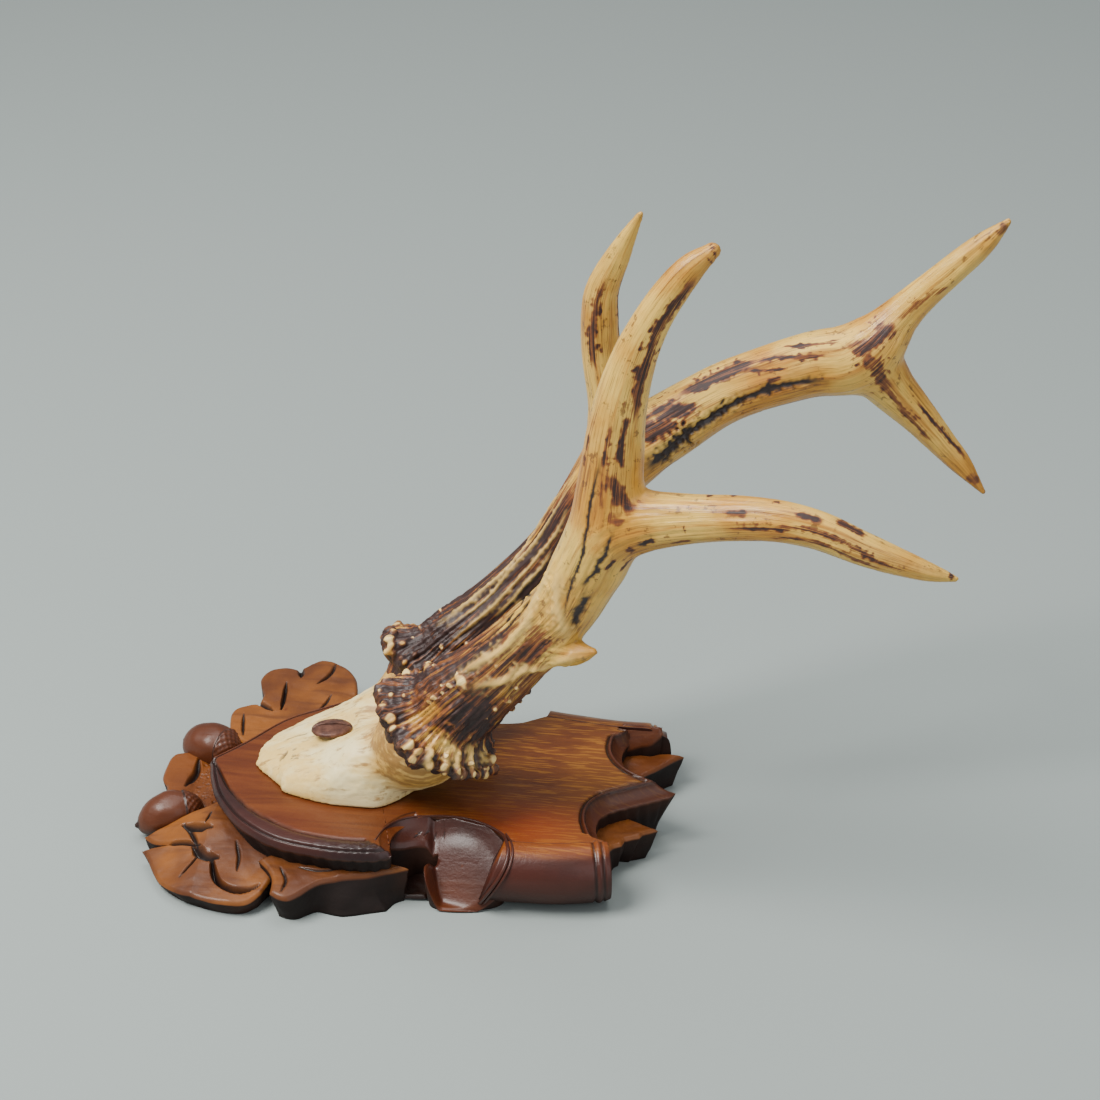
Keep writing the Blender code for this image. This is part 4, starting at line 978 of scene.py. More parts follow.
# Patches of rust on dark steel, nearly black in the slot.
def rustFinish():
    look = Finish("rusty steel", rustColors)
    patches = look.noise(look.place(), 350.0, 6.0, 0.65)
    color = look.mix(patches.band(0.35, 0.65), "dark", "rust")
    color = look.mix(look.trait("cut") * 0.8, color, "slot")
    look.link(color, "Base Color")
    look.link(0.34 + 0.35 * patches, "Roughness")
    look.shader.inputs["Metallic"].default_value = 0.3
    look.link(look.bump(patches, 0.4, 0.0002), "Normal")
    return look.material


# The shield. Outlines are rows of x and y, smooth between corners "c". "cuts" are knife cuts:
# a width, a depth, then places. "slope" is the top's height at two values of y, then those two,
# "tilt" its fall towards -X, "lean" how far the wall's foot lies inward at some values of x, or
# "inset" at all of them. "tone" is the share of the leaves' colour, "dark" that of the cuts'
# colour, and "punched" the x from which the ground has pits.
shieldTop = 22.0
board = {
    "outline": [
        (-68.0, -4.0, "c"), (-65.3, -14.0), (-60.0, -26.0), (-50.0, -38.5), (-36.0, -47.6),
        (-18.0, -51.0), (-4.0, -50.6), (2.8, -48.2, "c"), (1.5, -44.0), (0.8, -40.0),
        (1.9, -34.8), (5.9, -29.9), (12.9, -27.4), (22.1, -27.2), (30.0, -29.6),
        (36.4, -34.0, "c"), (42.4, -38.0, "c"), (50.0, -37.8), (62.0, -35.8), (70.0, -33.6, "c"),
        (66.8, -25.0), (65.7, -20.1), (66.1, -14.9), (69.0, -10.7), (74.1, -7.2), (80.3, -3.5),
        (88.6, 1.2, "c"), (89.8, 3.4, "c"), (80.0, 7.6), (73.6, 12.5), (70.2, 18.5),
        (69.6, 24.0), (70.2, 27.6), (71.4, 30.4), (72.6, 32.2, "c"), (65.5, 33.5), (56.7, 34.4),
        (47.3, 35.7), (43.5, 37.2, "c"), (40.6, 35.5), (33.7, 31.0), (25.1, 29.3), (17.0, 28.9),
        (9.5, 30.8), (3.0, 35.5), (-0.5, 41.5), (-1.6, 48.5, "c"), (-18.0, 44.0),
        (-37.5, 31.5), (-48.5, 22.5), (-58.5, 8.0)],
    "hub": (-12.0, 0.0),
    "step": 0.55,
    "rings": (10.0, 0.33, 1.6),   # fine rings for this far in, their spacing, the others'
    "inner": [                    # the moulding's inner groove on the left and near edges
        (-66.7, -5.1), (-63.9, -9.3), (-60.5, -15.5), (-56.0, -22.6), (-46.8, -32.2),
        (-34.6, -39.4), (-23.6, -43.0), (-10.2, -43.8), (-3.4, -42.6)],
}
boardEdges = {                  # lines are a depth, how far in they lie, and a width
    "waves": (0.08, 11.0),      # height and size
    "round": (2.6, 1.8),        # the moulding's edge: depth and width
    "outerLine": (0.9, 1.7, 0.4),
    "innerLine": (0.9, 0.55),   # depth and width of its inner groove
    "bandFrom": 1.5,
    "bandLeast": 1.9,
    "bandSwell": 0.55,
    "coveDepth": 5.2,           # the notches' cove, its two lines and the bead between them
    "coveWidth": 3.5,
    "coveLine": (0.45, 3.65, 0.22),
    "fieldLine": (0.9, 5.2, 0.5),
    "notchBead": (0.25, 4.25, 0.55),
    "facet": (2.2, 3.2),
    "plainRound": (1.2, 1.1),
    "plainLine": (0.5, 1.5, 0.3),
    "lean": (0.42, 7, 0.12, 12),   # the wall's: share and depth at the moulding, elsewhere
    "tipLean": (0.34, 17, 5),      # share, depth and reach at the tip between the notches
    "wallWave": 0.25,
}
bodyLook = {
    "step": 0.42,
    "rings": (60.0, 0.45, 0.45),
    "firstRings": (0, 0.12, 0.3, 0.55),   # millimetres in from the edge
    "ringsFrom": 0.85,
    "hubShare": 0.96,           # share of the way to the hub where the rings end
    "levels": 14,               # rings up the wall
}
leafLook = {
    "waves": ((0.5, 8.0), (0.12, 2.7)),   # height and size of the broad and the fine ones
    "rounding": (1.0, 1.2),     # depth and width
    "tiltFrom": -62,
    "pitDepth": 0.5,
    "rimRise": 1.6,
    "least": 0.8,
    "inset": 2.2,
    "wallWave": (0.9, 7.0),
}
leaves = {
    "near_leaf": {
        "outline": [
            (-58.0, -14.0, "c"), (-66.0, -19.5), (-73.2, -22.9), (-78.9, -26.3),
            (-84.7, -30.4, "c"), (-81.0, -33.4), (-74.5, -35.7, "c"), (-79.5, -35.9),
            (-84.1, -36.5, "c"), (-81.0, -40.8), (-78.0, -46.0), (-73.7, -52.0), (-67.9, -56.3),
            (-60.7, -59.3), (-51.4, -61.2), (-43.5, -60.5), (-39.2, -56.3, "c"), (-36.0, -48.0),
            (-32.0, -38.0, "c")],
        "hub": (-60.0, -40.0), "slope": (5.6, 13.0, -62.0, -34.0), "tilt": 0.32, "tone": 1.0,
        "cuts": [
            (4.2, 3.4, (-71.6, -28.6), (-66.3, -30.8), (-61.1, -31.6)),
            (2.2, 1.4, (-71.2, -28.0), (-67.0, -34.1), (-63.8, -39.7)),
            (4.6, 3.4, (-65.6, -39.0), (-61.0, -42.8), (-56.4, -43.4)),
            (1.4, 1.4, (-67.6, -51.1), (-64.7, -46.2), (-62.5, -41.5)),
            (1.5, 1.4, (-51.6, -36.5), (-49.4, -42.5), (-48.8, -48.4)),
            (1.2, 1.0, (-63.0, -23.4), (-63.8, -29.1)),
            (2.4, 2.4, (-75.5, -35.9), (-69.5, -36.8), (-63.4, -38.6)),
            (2.8, 3.8, (-58.6, -42.5), (-56.2, -49.4), (-53.4, -53.6), (-48.6, -56.0),
             (-44.2, -55.4), (-40.4, -53.0)),
        ]},
    "near_leaf_tail": {
        "outline": [
            (-42.0, -46.0, "c"), (-37.9, -50.2), (-35.6, -54.6), (-35.1, -60.4, "c"),
            (-32.2, -62.0), (-29.0, -62.3), (-25.9, -60.0), (-22.5, -56.2), (-18.9, -53.4),
            (-11.0, -50.6), (-3.5, -48.8), (7.6, -45.0, "c"), (-2.0, -41.5, "c"),
            (-30.0, -38.0, "c")],
        "hub": (-16.0, -45.0), "slope": (10.5, 13.0, -62.0, -48.0), "tone": 1.0,
        "lean": ((-38, 2.5), (-26, 4.0), (-20, -1.0), (-14, -5.0), (-5, -6.5), (2, -1.0), (8, 2.0)),
        "cuts": [
            (1.4, 1.2, (-34.0, -49.0), (-31.0, -54.5), (-31.4, -60.0)),
            (1.2, 0.8, (-28.0, -48.5), (-22.0, -49.5), (-14.0, -47.8)),
        ]},
    "far_leaf": {
        "outline": [
            (-36.0, 22.0, "c"), (-28.5, 44.0), (-29.2, 56.0), (-33.1, 63.6), (-39.8, 68.4),
            (-46.1, 68.4), (-51.9, 62.2, "c"), (-57.6, 62.9), (-62.5, 60.4), (-64.1, 54.6),
            (-61.1, 46.0, "c"), (-61.5, 40.5, "c"), (-64.8, 40.0), (-69.2, 36.9), (-69.6, 30.7),
            (-66.5, 22.2), (-54.0, 12.0, "c")],
        "hub": (-51.5, 38.0), "slope": (15.0, 17.5, 30.0, 68.0), "tone": 1.0,
        "cuts": [
            (2.0, 2.0, (-54.5, 53.5), (-53.6, 46.0), (-53.0, 37.8)),
            (1.7, 1.6, (-43.4, 54.0), (-39.8, 60.5), (-39.2, 67.0)),
            (1.4, 1.2, (-40.4, 37.2), (-38.2, 43.0), (-37.0, 48.0)),
            (1.5, 1.4, (-65.4, 33.4), (-64.4, 28.0), (-63.0, 21.8)),
            (2.8, 2.2, (-51.2, 63.5), (-50.0, 57.5)),
            (2.8, 2.2, (-62.5, 41.5), (-56.0, 37.0)),
        ]},
    "far_leaf_tail": {
        "outline": [
            (-30.0, 36.0, "c"), (-12.0, 39.0, "c"), (5.5, 47.5, "c"), (-3.0, 54.5),
            (-16.0, 60.5), (-27.0, 57.0, "c")],
        "hub": (-16.0, 49.0), "slope": (14.5, 12.0, 44.0, 60.0), "tone": 1.0,
        "cuts": [(1.2, 1.0, (-22.0, 48.0), (-12.0, 52.0), (-4.0, 51.0))]},
    "punched_ground": {
        "outline": [
            (-55.0, -22.0, "c"), (-70.0, -20.0), (-80.0, -14.0), (-83.5, -5.0, "c"),
            (-86.0, -1.0), (-86.6, 6.3), (-85.5, 13.0), (-79.5, 16.0, "c"), (-78.0, 22.0),
            (-56.0, 24.0, "c"), (-46.0, 0.0, "c")],
        "hub": (-66.0, 0.0), "slope": (8.6, 8.6, -20.0, 20.0), "tone": 0.5, "punched": -76.0,
        "cuts": [(2.6, 2.0, (-77.0, -5.0), (-75.5, 4.0), (-76.5, 12.0))]},
    # A low near-black plate in the hollow by the near volute: painted shadow.
    "painted_shadow_plate": {
        "outline": [
            (-5.0, -46.0, "c"), (13.0, -44.5, "c"), (15.0, -36.0, "c"), (6.0, -30.0, "c"),
            (-4.0, -34.0, "c")],
        "hub": (4.0, -39.0), "slope": (1.5, 4.0, -46.0, -30.0), "tone": 0.0, "dark": 0.95,
        "cuts": []},
    "near_tongue": {
        "outline": [
            (60.0, -26.0, "c"), (67.7, -26.4, "c"), (70.4, -25.2, "c"), (71.6, -22.4),
            (74.3, -20.6, "c"), (75.0, -17.6, "c"), (79.9, -15.6, "c"), (80.6, -14.0, "c"),
            (85.3, -10.6, "c"), (79.5, -7.8), (75.0, -5.6), (70.0, -4.6), (64.0, -6.0, "c")],
        "hub": (71.5, -13.0), "slope": (12.0, 12.0, -30.0, -6.0), "tone": 0.75, "inset": 4.0,
        "cuts": []},
    "far_tongue": {
        "outline": [
            (60.0, 12.0, "c"), (70.0, 13.0), (77.6, 17.4, "c"), (77.2, 19.6, "c"),
            (80.6, 23.1), (90.0, 33.6, "c"), (80.3, 34.2, "c"), (78.9, 32.8, "c"),
            (69.7, 32.4), (62.0, 33.0, "c")],
        "hub": (72.5, 26.0), "slope": (12.0, 12.0, 8.0, 34.0), "tone": 0.75, "inset": 4.0,
        "cuts": []},
    "far_lip": {
        "outline": [
            (67.5, 29.0, "c"), (71.0, 29.6), (75.0, 30.6), (79.0, 31.4), (82.2, 33.0, "c"),
            (82.0, 35.5, "c"), (68.0, 35.5, "c")],
        "hub": (75.0, 33.2), "slope": (16.8, 21.5, 30.2, 33.4), "tone": 0.0, "dark": 0.3,
        "cuts": []},
}
volute = {
    "rim": [
        (-3.4, -41.8), (-1.2, -35.2), (4.0, -29.8), (12.9, -27.5), (22.1, -27.3), (30.0, -29.8),
        (36.2, -34.1)],
    "bodies": {                 # outline, hub
        "volute": ([
            (15.6, -27.4, "c"), (22.1, -27.1), (30.0, -29.6), (36.4, -33.9), (39.4, -38.6),
            (39.3, -42.5), (36.5, -45.7), (31.8, -47.8), (27.8, -48.8), (22.9, -49.4),
            (17.7, -49.4), (14.0, -48.0), (12.4, -43.6), (13.4, -38.9), (15.6, -36.0, "c"),
            (15.6, -31.5)], (24.0, -38.5)),
        "ledge": ([
            (-1.0, -40.5, "c"), (-1.6, -35.6), (3.9, -29.6), (12.9, -27.3), (17.6, -27.0, "c"),
            (17.0, -34.6, "c"), (9.1, -34.9), (4.0, -37.5)], (8.0, -32.0))},
    "eye": (23.5, -38.5),
    "bead": [                   # x, y, z, radius
        (-3.6, -43.0, 22.0, 0.32), (-1.4, -35.4, 22.0, 0.34), (3.9, -29.7, 22.0, 0.36),
        (12.9, -27.3, 22.0, 0.38), (22.1, -27.1, 22.0, 0.4), (30.0, -29.6, 22.0, 0.45),
        (36.4, -34.0, 22.0, 0.5), (38.9, -38.8, 21.9, 0.6), (39.9, -42.8, 21.0, 0.7),
        (39.6, -45.9, 19.0, 0.7), (38.3, -48.2, 16.2, 0.7), (36.2, -49.2, 12.6, 0.7),
        (33.6, -48.9, 8.2, 0.7), (31.0, -47.4, 3.4, 0.6)],
    "outerBead": (6, 1.5, 0.7),   # from this row of the bead, shift in x, share of its radius
    "slopes": (0.31, 20.0, 1.14, 27.3),   # of the face in x, from this x, and in y, from this y
    "hollow": (0.8, 3.2, 2.4),  # depth, how far from the rim, width
    "dome": (0.6, 11),          # height and radius
    "cove": (7.0, 4.0, 14),     # depth, width, and the fall towards the face
    "rounding": (1.2, 1.6),
    "foot": 1.4,                # how far the wall's foot lies inward
    "cuts": [
        (0.7, 0.4, (10.5, -32.2), (12.0, -30.2)), (0.7, 0.4, (13.4, -31.6), (14.2, -29.4)),
        (0.7, 0.4, (7.4, -33.4), (9.4, -31.2)), (0.6, 0.3, (16.6, -31.2), (17.0, -29.4))],
}


# Knife cuts in the plan: deepest on their line, nothing half their width away, thin at ends.
def carveStrokes(plan, cuts):
    depth, dark = np.zeros(len(plan)), np.zeros(len(plan))
    for width, deep, *line in cuts:
        line = np.array(line)
        box = (plan > line.min(0) - width) & (plan < line.max(0) + width)
        some = np.flatnonzero(box.all(1))
        if not len(some):
            continue
        away, _, share = nearestOn(plan[some], smoothPath(line, 0.8))
        fade = smoothstep(-0.05, 0.3, share) * (1 - smoothstep(0.7, 1.05, share))
        part = np.clip(1 - 2 * away / (width * (0.35 + 0.65 * fade)), 0, 1)
        depth[some] = np.maximum(depth[some], deep * part * (0.4 + 0.6 * fade))
        dark[some] = np.maximum(dark[some], np.clip(1.6 * part, 0, 1))
    return depth, dark


# The oak finish's shares for each point: nothing, except those that are given.
def oakTraits(count, **given):
    names = ("cut", "violet", "glow", "shade", "leaf", "wall", "ray")
    return {name: given.get(name, 0.0) + np.zeros(count) for name in names}


# A carved body: rings up its wall from the table to its edge, then rings in to its hub. The
# top's height comes from topAt, the wall's lean from insetAt, both of whole arrays.
def carvedBody(name, plan, topAt, insetAt, material, stands=()):
    look = bodyLook
    edge = cornerPath(plan["outline"], plan.get("step", look["step"]))
    inward = np.array(plan["hub"]) - edge
    reach = np.linalg.norm(inward, axis=1)
    band, fine, coarse = plan.get("rings", look["rings"])
    far = reach.max()
    last = look["hubShare"] * far
    steps = np.r_[look["firstRings"], np.arange(look["ringsFrom"], min(band, last), fine),
                  np.arange(band, last, coarse)]
    flat = edge[None] + (steps / far)[:, None, None] * inward[None]
    spots = flat.reshape(-1, 2)
    away, nearest, _ = nearestOn(spots, edge[::2], closed=True)
    top, given = topAt(spots, away, nearest)
    topRings = np.concatenate([flat, top.reshape(len(steps), -1, 1)], 2)
    levels = np.linspace(0, 1, look["levels"] + 1)[:-1]
    height = levels[:, None] * top[:len(edge)][None]
    inset = insetAt(edge[None] + 0 * height[:, :, None], height, top[:len(edge)][None])
    wall = edge[None] + (inset / reach)[:, :, None] * inward[None]
    rings = np.vstack([np.concatenate([wall, height[:, :, None]], 2), topRings])
    points, faces = ringMesh(rings)
    points[:, 2] = np.maximum(points[:, 2], 0)
    walls = len(levels) * len(edge)
    given = {key: np.r_[np.zeros(walls), value + 0 * top, 0, 0] for key, value in given.items()}
    # The walls get the near-black wall colour: mostly painted shade, partly the walls' own darker
    # tone.
    given["wall"] = np.r_[np.ones(walls), np.zeros(len(points) - walls)]
    addPiece(name, points, outwardFaces(points, faces), material,
             oakTraits(len(points), **given), stands)


# The board's edges: a wide moulding at the left and near side, a groove, bead and cove round
# the notches, a fine line at the far side, and nothing where the rolls and volutes join.
def boardTop(spots, away, nearest):
    look = boardEdges
    x, y = nearest[:, 0], nearest[:, 1]
    moulded = ((x < -2.5) & (y < -3.0)) | ((x < 2.7) & (y < -47.0))
    notch = (x > 64.5) & (y > -33.3) & (y < 33.2)
    facet = (x > -1) & (x < 8) & (y < -28) & ~moulded
    plain = (x < -0.6) & ~moulded
    solid = np.c_[spots, np.zeros(len(spots))]
    waveHeight, waveSize = look["waves"]
    top = shieldTop + waveHeight * noise(solid / waveSize)

    line = smoothPath(board["inner"], 1.0)
    width = np.maximum(nearestOn(nearest, line)[0], look["bandLeast"])
    inBand = np.clip((away - look["bandFrom"]) / (width - look["bandFrom"]), 0, 1)
    innerDepth, innerWidth = look["innerLine"]
    groove = bell(nearestOn(spots, line)[0], 0, innerWidth)
    hole = 0.22 * noise(solid * 0.8) * smoothstep(-40, -10, x) * (inBand < 1)
    roundDepth, roundWidth = look["round"]
    lineDepth, *linePlace = look["outerLine"]
    outerLine = bell(away, *linePlace)
    edge = roundDepth * np.clip(1 - away / roundWidth, 0, 1) ** 2 + lineDepth * outerLine
    swell = look["bandSwell"] * np.sin(math.pi * inBand)
    top += np.where(moulded, swell + hole - edge - innerDepth * groove, 0)
    cut = np.where(moulded, np.maximum(groove, 0.8 * outerLine), 0)
    # Painted sheen: the moulding's band gets the dark violet colour.
    violet = np.where(moulded, 1 - smoothstep(0.85, 0.95, inBand), 0)

    far = away * (1 + 2.0 * smoothstep(26, 31, y))
    part = np.clip(far / look["coveWidth"], 0, 1)
    cove = -look["coveDepth"] * (1 - 0.35 * part - 0.65 * (1 - np.sqrt(1 - part ** 2)))
    coveDepth, coveAt, coveWidth = look["coveLine"]
    fieldDepth, *fieldPlace = look["fieldLine"]
    fieldLine = bell(far, *fieldPlace)
    lines = coveDepth * bell(far, coveAt, coveWidth) + fieldDepth * fieldLine
    beadHeight, beadAt, beadWidth = look["notchBead"]
    bead = beadHeight * np.clip(1 - ((far - beadAt) / beadWidth) ** 2, 0, 1)
    top += np.where(notch, cove + bead - lines, 0)
    cut = np.where(notch, np.maximum(0.8 * bell(far, coveAt, 0.25), fieldLine), cut)
    # Painted sheen: the notches' cove near the edge gets some of it.
    violet = np.where(notch, (far < 4.9) * 0.6, violet)

    facetDepth, facetWidth = look["facet"]
    top -= np.where(facet, facetDepth * np.clip(1 - away / facetWidth, 0, 1), 0)
    cut = np.where(facet, 0.7 * bell(away, facetWidth, 0.3), cut)
    plainDepth, plainWidth = look["plainRound"]
    plainLineDepth, *plainPlace = look["plainLine"]
    plainLine = bell(away, *plainPlace)
    rounding = plainDepth * np.clip(1 - away / plainWidth, 0, 1) ** 2 + plainLineDepth * plainLine
    top -= np.where(plain, rounding, 0)
    cut = np.where(plain, np.maximum(plainLine, away < 0.7), cut)
    glow = bell(np.hypot((spots[:, 0] - 40) / 1.7, spots[:, 1] + 28), 0, 13)
    shade = bell(np.hypot((spots[:, 0] - 14) / 1.5, spots[:, 1] + 4), 0, 20)
    ray = smoothstep(-5, 30, spots[:, 0]) * (1 - violet)
    return top, {"cut": cut, "violet": violet, "glow": glow, "shade": shade, "ray": ray}


# The board's wall leans in by a share of its depth, more at the tip, with a sine's slow wave.
def boardInset(edge, height, top):
    x, y = edge[:, :, 0], edge[:, :, 1]
    drop = top - height
    moulded = (x < 0) | ((x < 4) & (y < -45))
    share, deep, otherShare, otherDeep = boardEdges["lean"]
    lean = np.where(moulded, share * np.clip(drop, 0, deep),
                    otherShare * np.clip(drop, 0, otherDeep))
    tipShare, tipDeep, tipReach = boardEdges["tipLean"]
    lean += tipShare * np.clip(drop, 0, tipDeep) * bell(np.hypot(x - 90, y - 2), 0, tipReach)
    return lean + boardEdges["wallWave"] * np.sin(x * 1.3 + y * 0.9 + height * 0.2)


# A leaf's top: its slope and tilt, two sizes of wave, a rounded edge, less its cuts and pits.
def leafTop(plan):
    look = leafLook

    def topAt(spots, away, nearest):
        low, high, yLow, yHigh = plan["slope"]
        part = (spots[:, 1] - yLow) / (yHigh - yLow)
        solid = np.c_[spots, np.full(len(spots), 4.0)]
        top = low + (high - low) * np.clip(part, -0.2, 1.2)
        top -= plan.get("tilt", 0.0) * np.maximum(0, look["tiltFrom"] - spots[:, 0])
        (broad, broadSize), (fine, fineSize) = look["waves"]
        top += broad * noise(solid / broadSize) + fine * noise(solid / fineSize)
        deep, width = look["rounding"]
        top -= deep * np.clip(1 - away / width, 0, 1) ** 2
        depth, dark = carveStrokes(spots, plan["cuts"])
        pits = 0 * top
        if "punched" in plan:
            past = spots[:, 0] - plan["punched"]
            pits = np.clip(noise(solid * 0.9), 0, 1) * smoothstep(0, 3, past)
            top += look["rimRise"] * (1 - smoothstep(-2, 3, past))
        dark = np.maximum(dark, 0.6 * pits)
        dark = np.maximum(dark, plan.get("dark", 0.0))
        top = np.maximum(top - depth - look["pitDepth"] * pits, look["least"])
        return top, {"cut": dark, "leaf": plan["tone"]}
    return topAt


# A leaf's wall leans in evenly to its foot, with waves of noise that end at edge and foot.
def leafInset(plan):
    lean = np.array(plan.get("lean", ((0, plan.get("inset", leafLook["inset"])),)))
    waveHeight, waveSize = leafLook["wallWave"]

    def insetAt(edge, height, top):
        solid = np.dstack([edge, height]).reshape(-1, 3)
        rough = (waveHeight * noise(solid / waveSize)).reshape(height.shape)
        drop = np.clip((top - height) / top, 0, 1)
        inward = np.interp(edge[:, :, 0], lean[:, 0], lean[:, 1])
        return inward * drop + rough * np.sin(math.pi * drop)
    return insetAt


# A volute: its slanted face, a hollow cove along its rim and a low dome on its eye.
def voluteTop(side):
    rim = smoothPath(volute["rim"], 0.8) * (1, side)
    eye = np.array(volute["eye"]) * (1, side)
    cuts = [(w, d, *[(x, side * y) for x, y in line]) for w, d, *line in volute["cuts"]]
    xSlope, xFrom, ySlope, yFrom = volute["slopes"]
    hollowDepth, *hollowPlace = volute["hollow"]
    domeHeight, domeRadius = volute["dome"]
    coveDepth, coveWidth, coveFall = volute["cove"]
    deep, width = volute["rounding"]

    def topAt(spots, away, nearest):
        x, y = spots[:, 0], np.abs(spots[:, 1])
        fromRim = nearestOn(spots, rim)[0]
        face = shieldTop + xSlope * (x - xFrom) + ySlope * (yFrom - y)
        face -= hollowDepth * bell(fromRim, *hollowPlace) * (1 - smoothstep(30, 38, x))
        fromEye = np.linalg.norm(spots - eye, axis=1)
        face += domeHeight * np.clip(1 - (fromEye / domeRadius) ** 2, 0, 1)
        cove = shieldTop - coveDepth * (1 - np.exp(-fromRim / coveWidth))
        cove = cove - coveFall * smoothstep(11, 19, x)
        top = np.maximum(face, cove) + 0.5 * np.exp(-np.abs(face - cove))
        rounding = deep * np.clip(1 - away / width, 0, 1) ** 2 * smoothstep(0.8, 4.0, fromRim)
        joint = (np.abs(nearest[:, 0] - 16.4) < 2.4) & (np.abs(nearest[:, 1]) < 36.2)
        rounding = np.where(joint, 0, rounding)
        depth, dark = carveStrokes(spots, cuts)
        top = np.minimum(top, shieldTop - 0.15 - 0.1 * fromRim) - rounding
        # Painted sheen: dark violet near the volute's rim, less towards its eye.
        violet = 0.9 - 0.55 * smoothstep(6, 20, fromRim)
        return np.maximum(top - depth, 0.6), {"cut": 0.8 * dark, "violet": violet}
    return topAt


# A volute's wall leans in as the square of the share of the way down it.
def voluteInset(edge, height, top):
    return volute["foot"] * np.clip((top - height) / np.maximum(top, 1), 0, 1) ** 2


# A thin rounded bead along rows of x, y, z and radius.
def makeBead(name, route, material):
    points, faces = ringMesh(tubeRings(smoothPath(route, 0.7), 14, 1.0))
    points[:, 2] = np.maximum(points[:, 2], 0)
    # Painted sheen: the bead is mostly dark violet.
    addPiece(name, points, outwardFaces(points, faces), material,
             oakTraits(len(points), violet=0.8))


# The board, the leaves and grounds, then both volutes with their ledges, and two beads. The far
# side's volute is the near one's with y turned round.
def makeShield(material):
    carvedBody("shield_board", board, boardTop, boardInset, material, ("plaque",))
    for name, plan in leaves.items():
        carvedBody(name, plan, leafTop(plan), leafInset(plan), material)
    first, shift, share = volute["outerBead"]
    for name, side in (("near", 1), ("far", -1)):
        for body, (outline, hub) in volute["bodies"].items():
            plan = {"outline": [(row[0], side * row[1], *row[2:]) for row in outline],
                    "hub": (hub[0], side * hub[1])}
            carvedBody(f"{name}_{body}", plan, voluteTop(side), voluteInset, material)
    makeBead("rim_bead", volute["bead"], material)
    outer = [(x + shift, y, z, share * radius) for x, y, z, radius in volute["bead"][first:]]
    makeBead("outer_bead", outer, material)


oakColors = {
    "oak": (0.088, 0.019, 0.004),
    "redOak": (0.140, 0.036, 0.006),
    "blotch": (0.105, 0.019, 0.005),
    "field": (0.20, 0.065, 0.008),
    "fleck": (0.34, 0.135, 0.014),
    "glow": (0.28, 0.036, 0.003),
    "shade": (0.030, 0.008, 0.003),
    "leaf": (0.085, 0.022, 0.004),
    "paleLeaf": (0.230, 0.072, 0.008),
    "leafGrain": (0.055, 0.014, 0.004),
    # violet colours: painted sheen of the rounded parts
    "violet": (0.018, 0.007, 0.007),
    "paleVioletSheen": (0.052, 0.013, 0.009),
    "cut": (0.010, 0.004, 0.003),
    # wall colours: mostly painted shade on the walls, partly their own darker tone
    "wall": (0.008, 0.003, 0.002),
    "paleWall": (0.040, 0.012, 0.005),
}


# Red-brown oak with grain along X. The attributes mix in the field's flecks, the glow and the
# shade, the leaves, the painted violet sheen of the rounded parts, the cuts and the walls'
# near-black colour, mostly painted shade.
def oakFinish():
    look = Finish("oak", oakColors)
    spot = look.place()
    grain = look.noise(look.place((25, 220, 220)), 1.0, 5.0, 0.6, 0.6)
    blotch = look.noise(spot, 28.0, 4.0)
    flecks = look.noise(look.place((110, 1500, 300)), 1.0, 2.0, 0.5)
    fine = look.noise(spot, 700.0, 3.0, 0.6)
    wall = look.trait("wall")
    color = look.mix(grain.band(0.35, 0.65), "oak", "redOak")
    color = look.mix(blotch.band(0.40, 0.70) * 0.6, color, "blotch")
    ray = flecks.band(0.52, 0.62) * look.trait("ray")
    color = look.mix(look.trait("ray") * blotch.band(0.35, 0.6) * 0.6, color, "field")
    color = look.mix(ray * 0.65, color, "fleck")
    color = look.mix(look.trait("glow") * 0.7, color, "glow")
    color = look.mix(look.trait("shade") * 0.6, color, "shade")
    leafy = look.mix(blotch.band(0.35, 0.65), "leaf", "paleLeaf")
    leafy = look.mix(grain.band(0.5, 0.7) * 0.5, leafy, "leafGrain")
    color = look.mix(look.trait("leaf"), color, leafy)
    paintedSheen = look.mix(blotch.band(0.35, 0.65), "violet", "paleVioletSheen")
    color = look.mix(look.trait("violet"), color, paintedSheen)
    color = look.mix(look.trait("cut"), color, "cut")
    # Painted shade, partly real: the walls' near-black colour.
    walls = look.mix(blotch.band(0.40, 0.72), "wall", "paleWall")
    color = look.mix(wall, color, walls)
    look.link(color, "Base Color")
    look.link(0.28 + 0.22 * grain + look.trait("leaf") * 0.16 + 0.3 * wall, "Roughness")
    look.link(0.2 - 0.2 * wall, "Coat Weight")
    look.shader.inputs["Specular IOR Level"].default_value = 0.3
    look.shader.inputs["Coat Roughness"].default_value = 0.22
    look.link(look.bump(grain + fine * 0.7 + blotch, 0.32, 0.0005), "Normal")
    return look.material


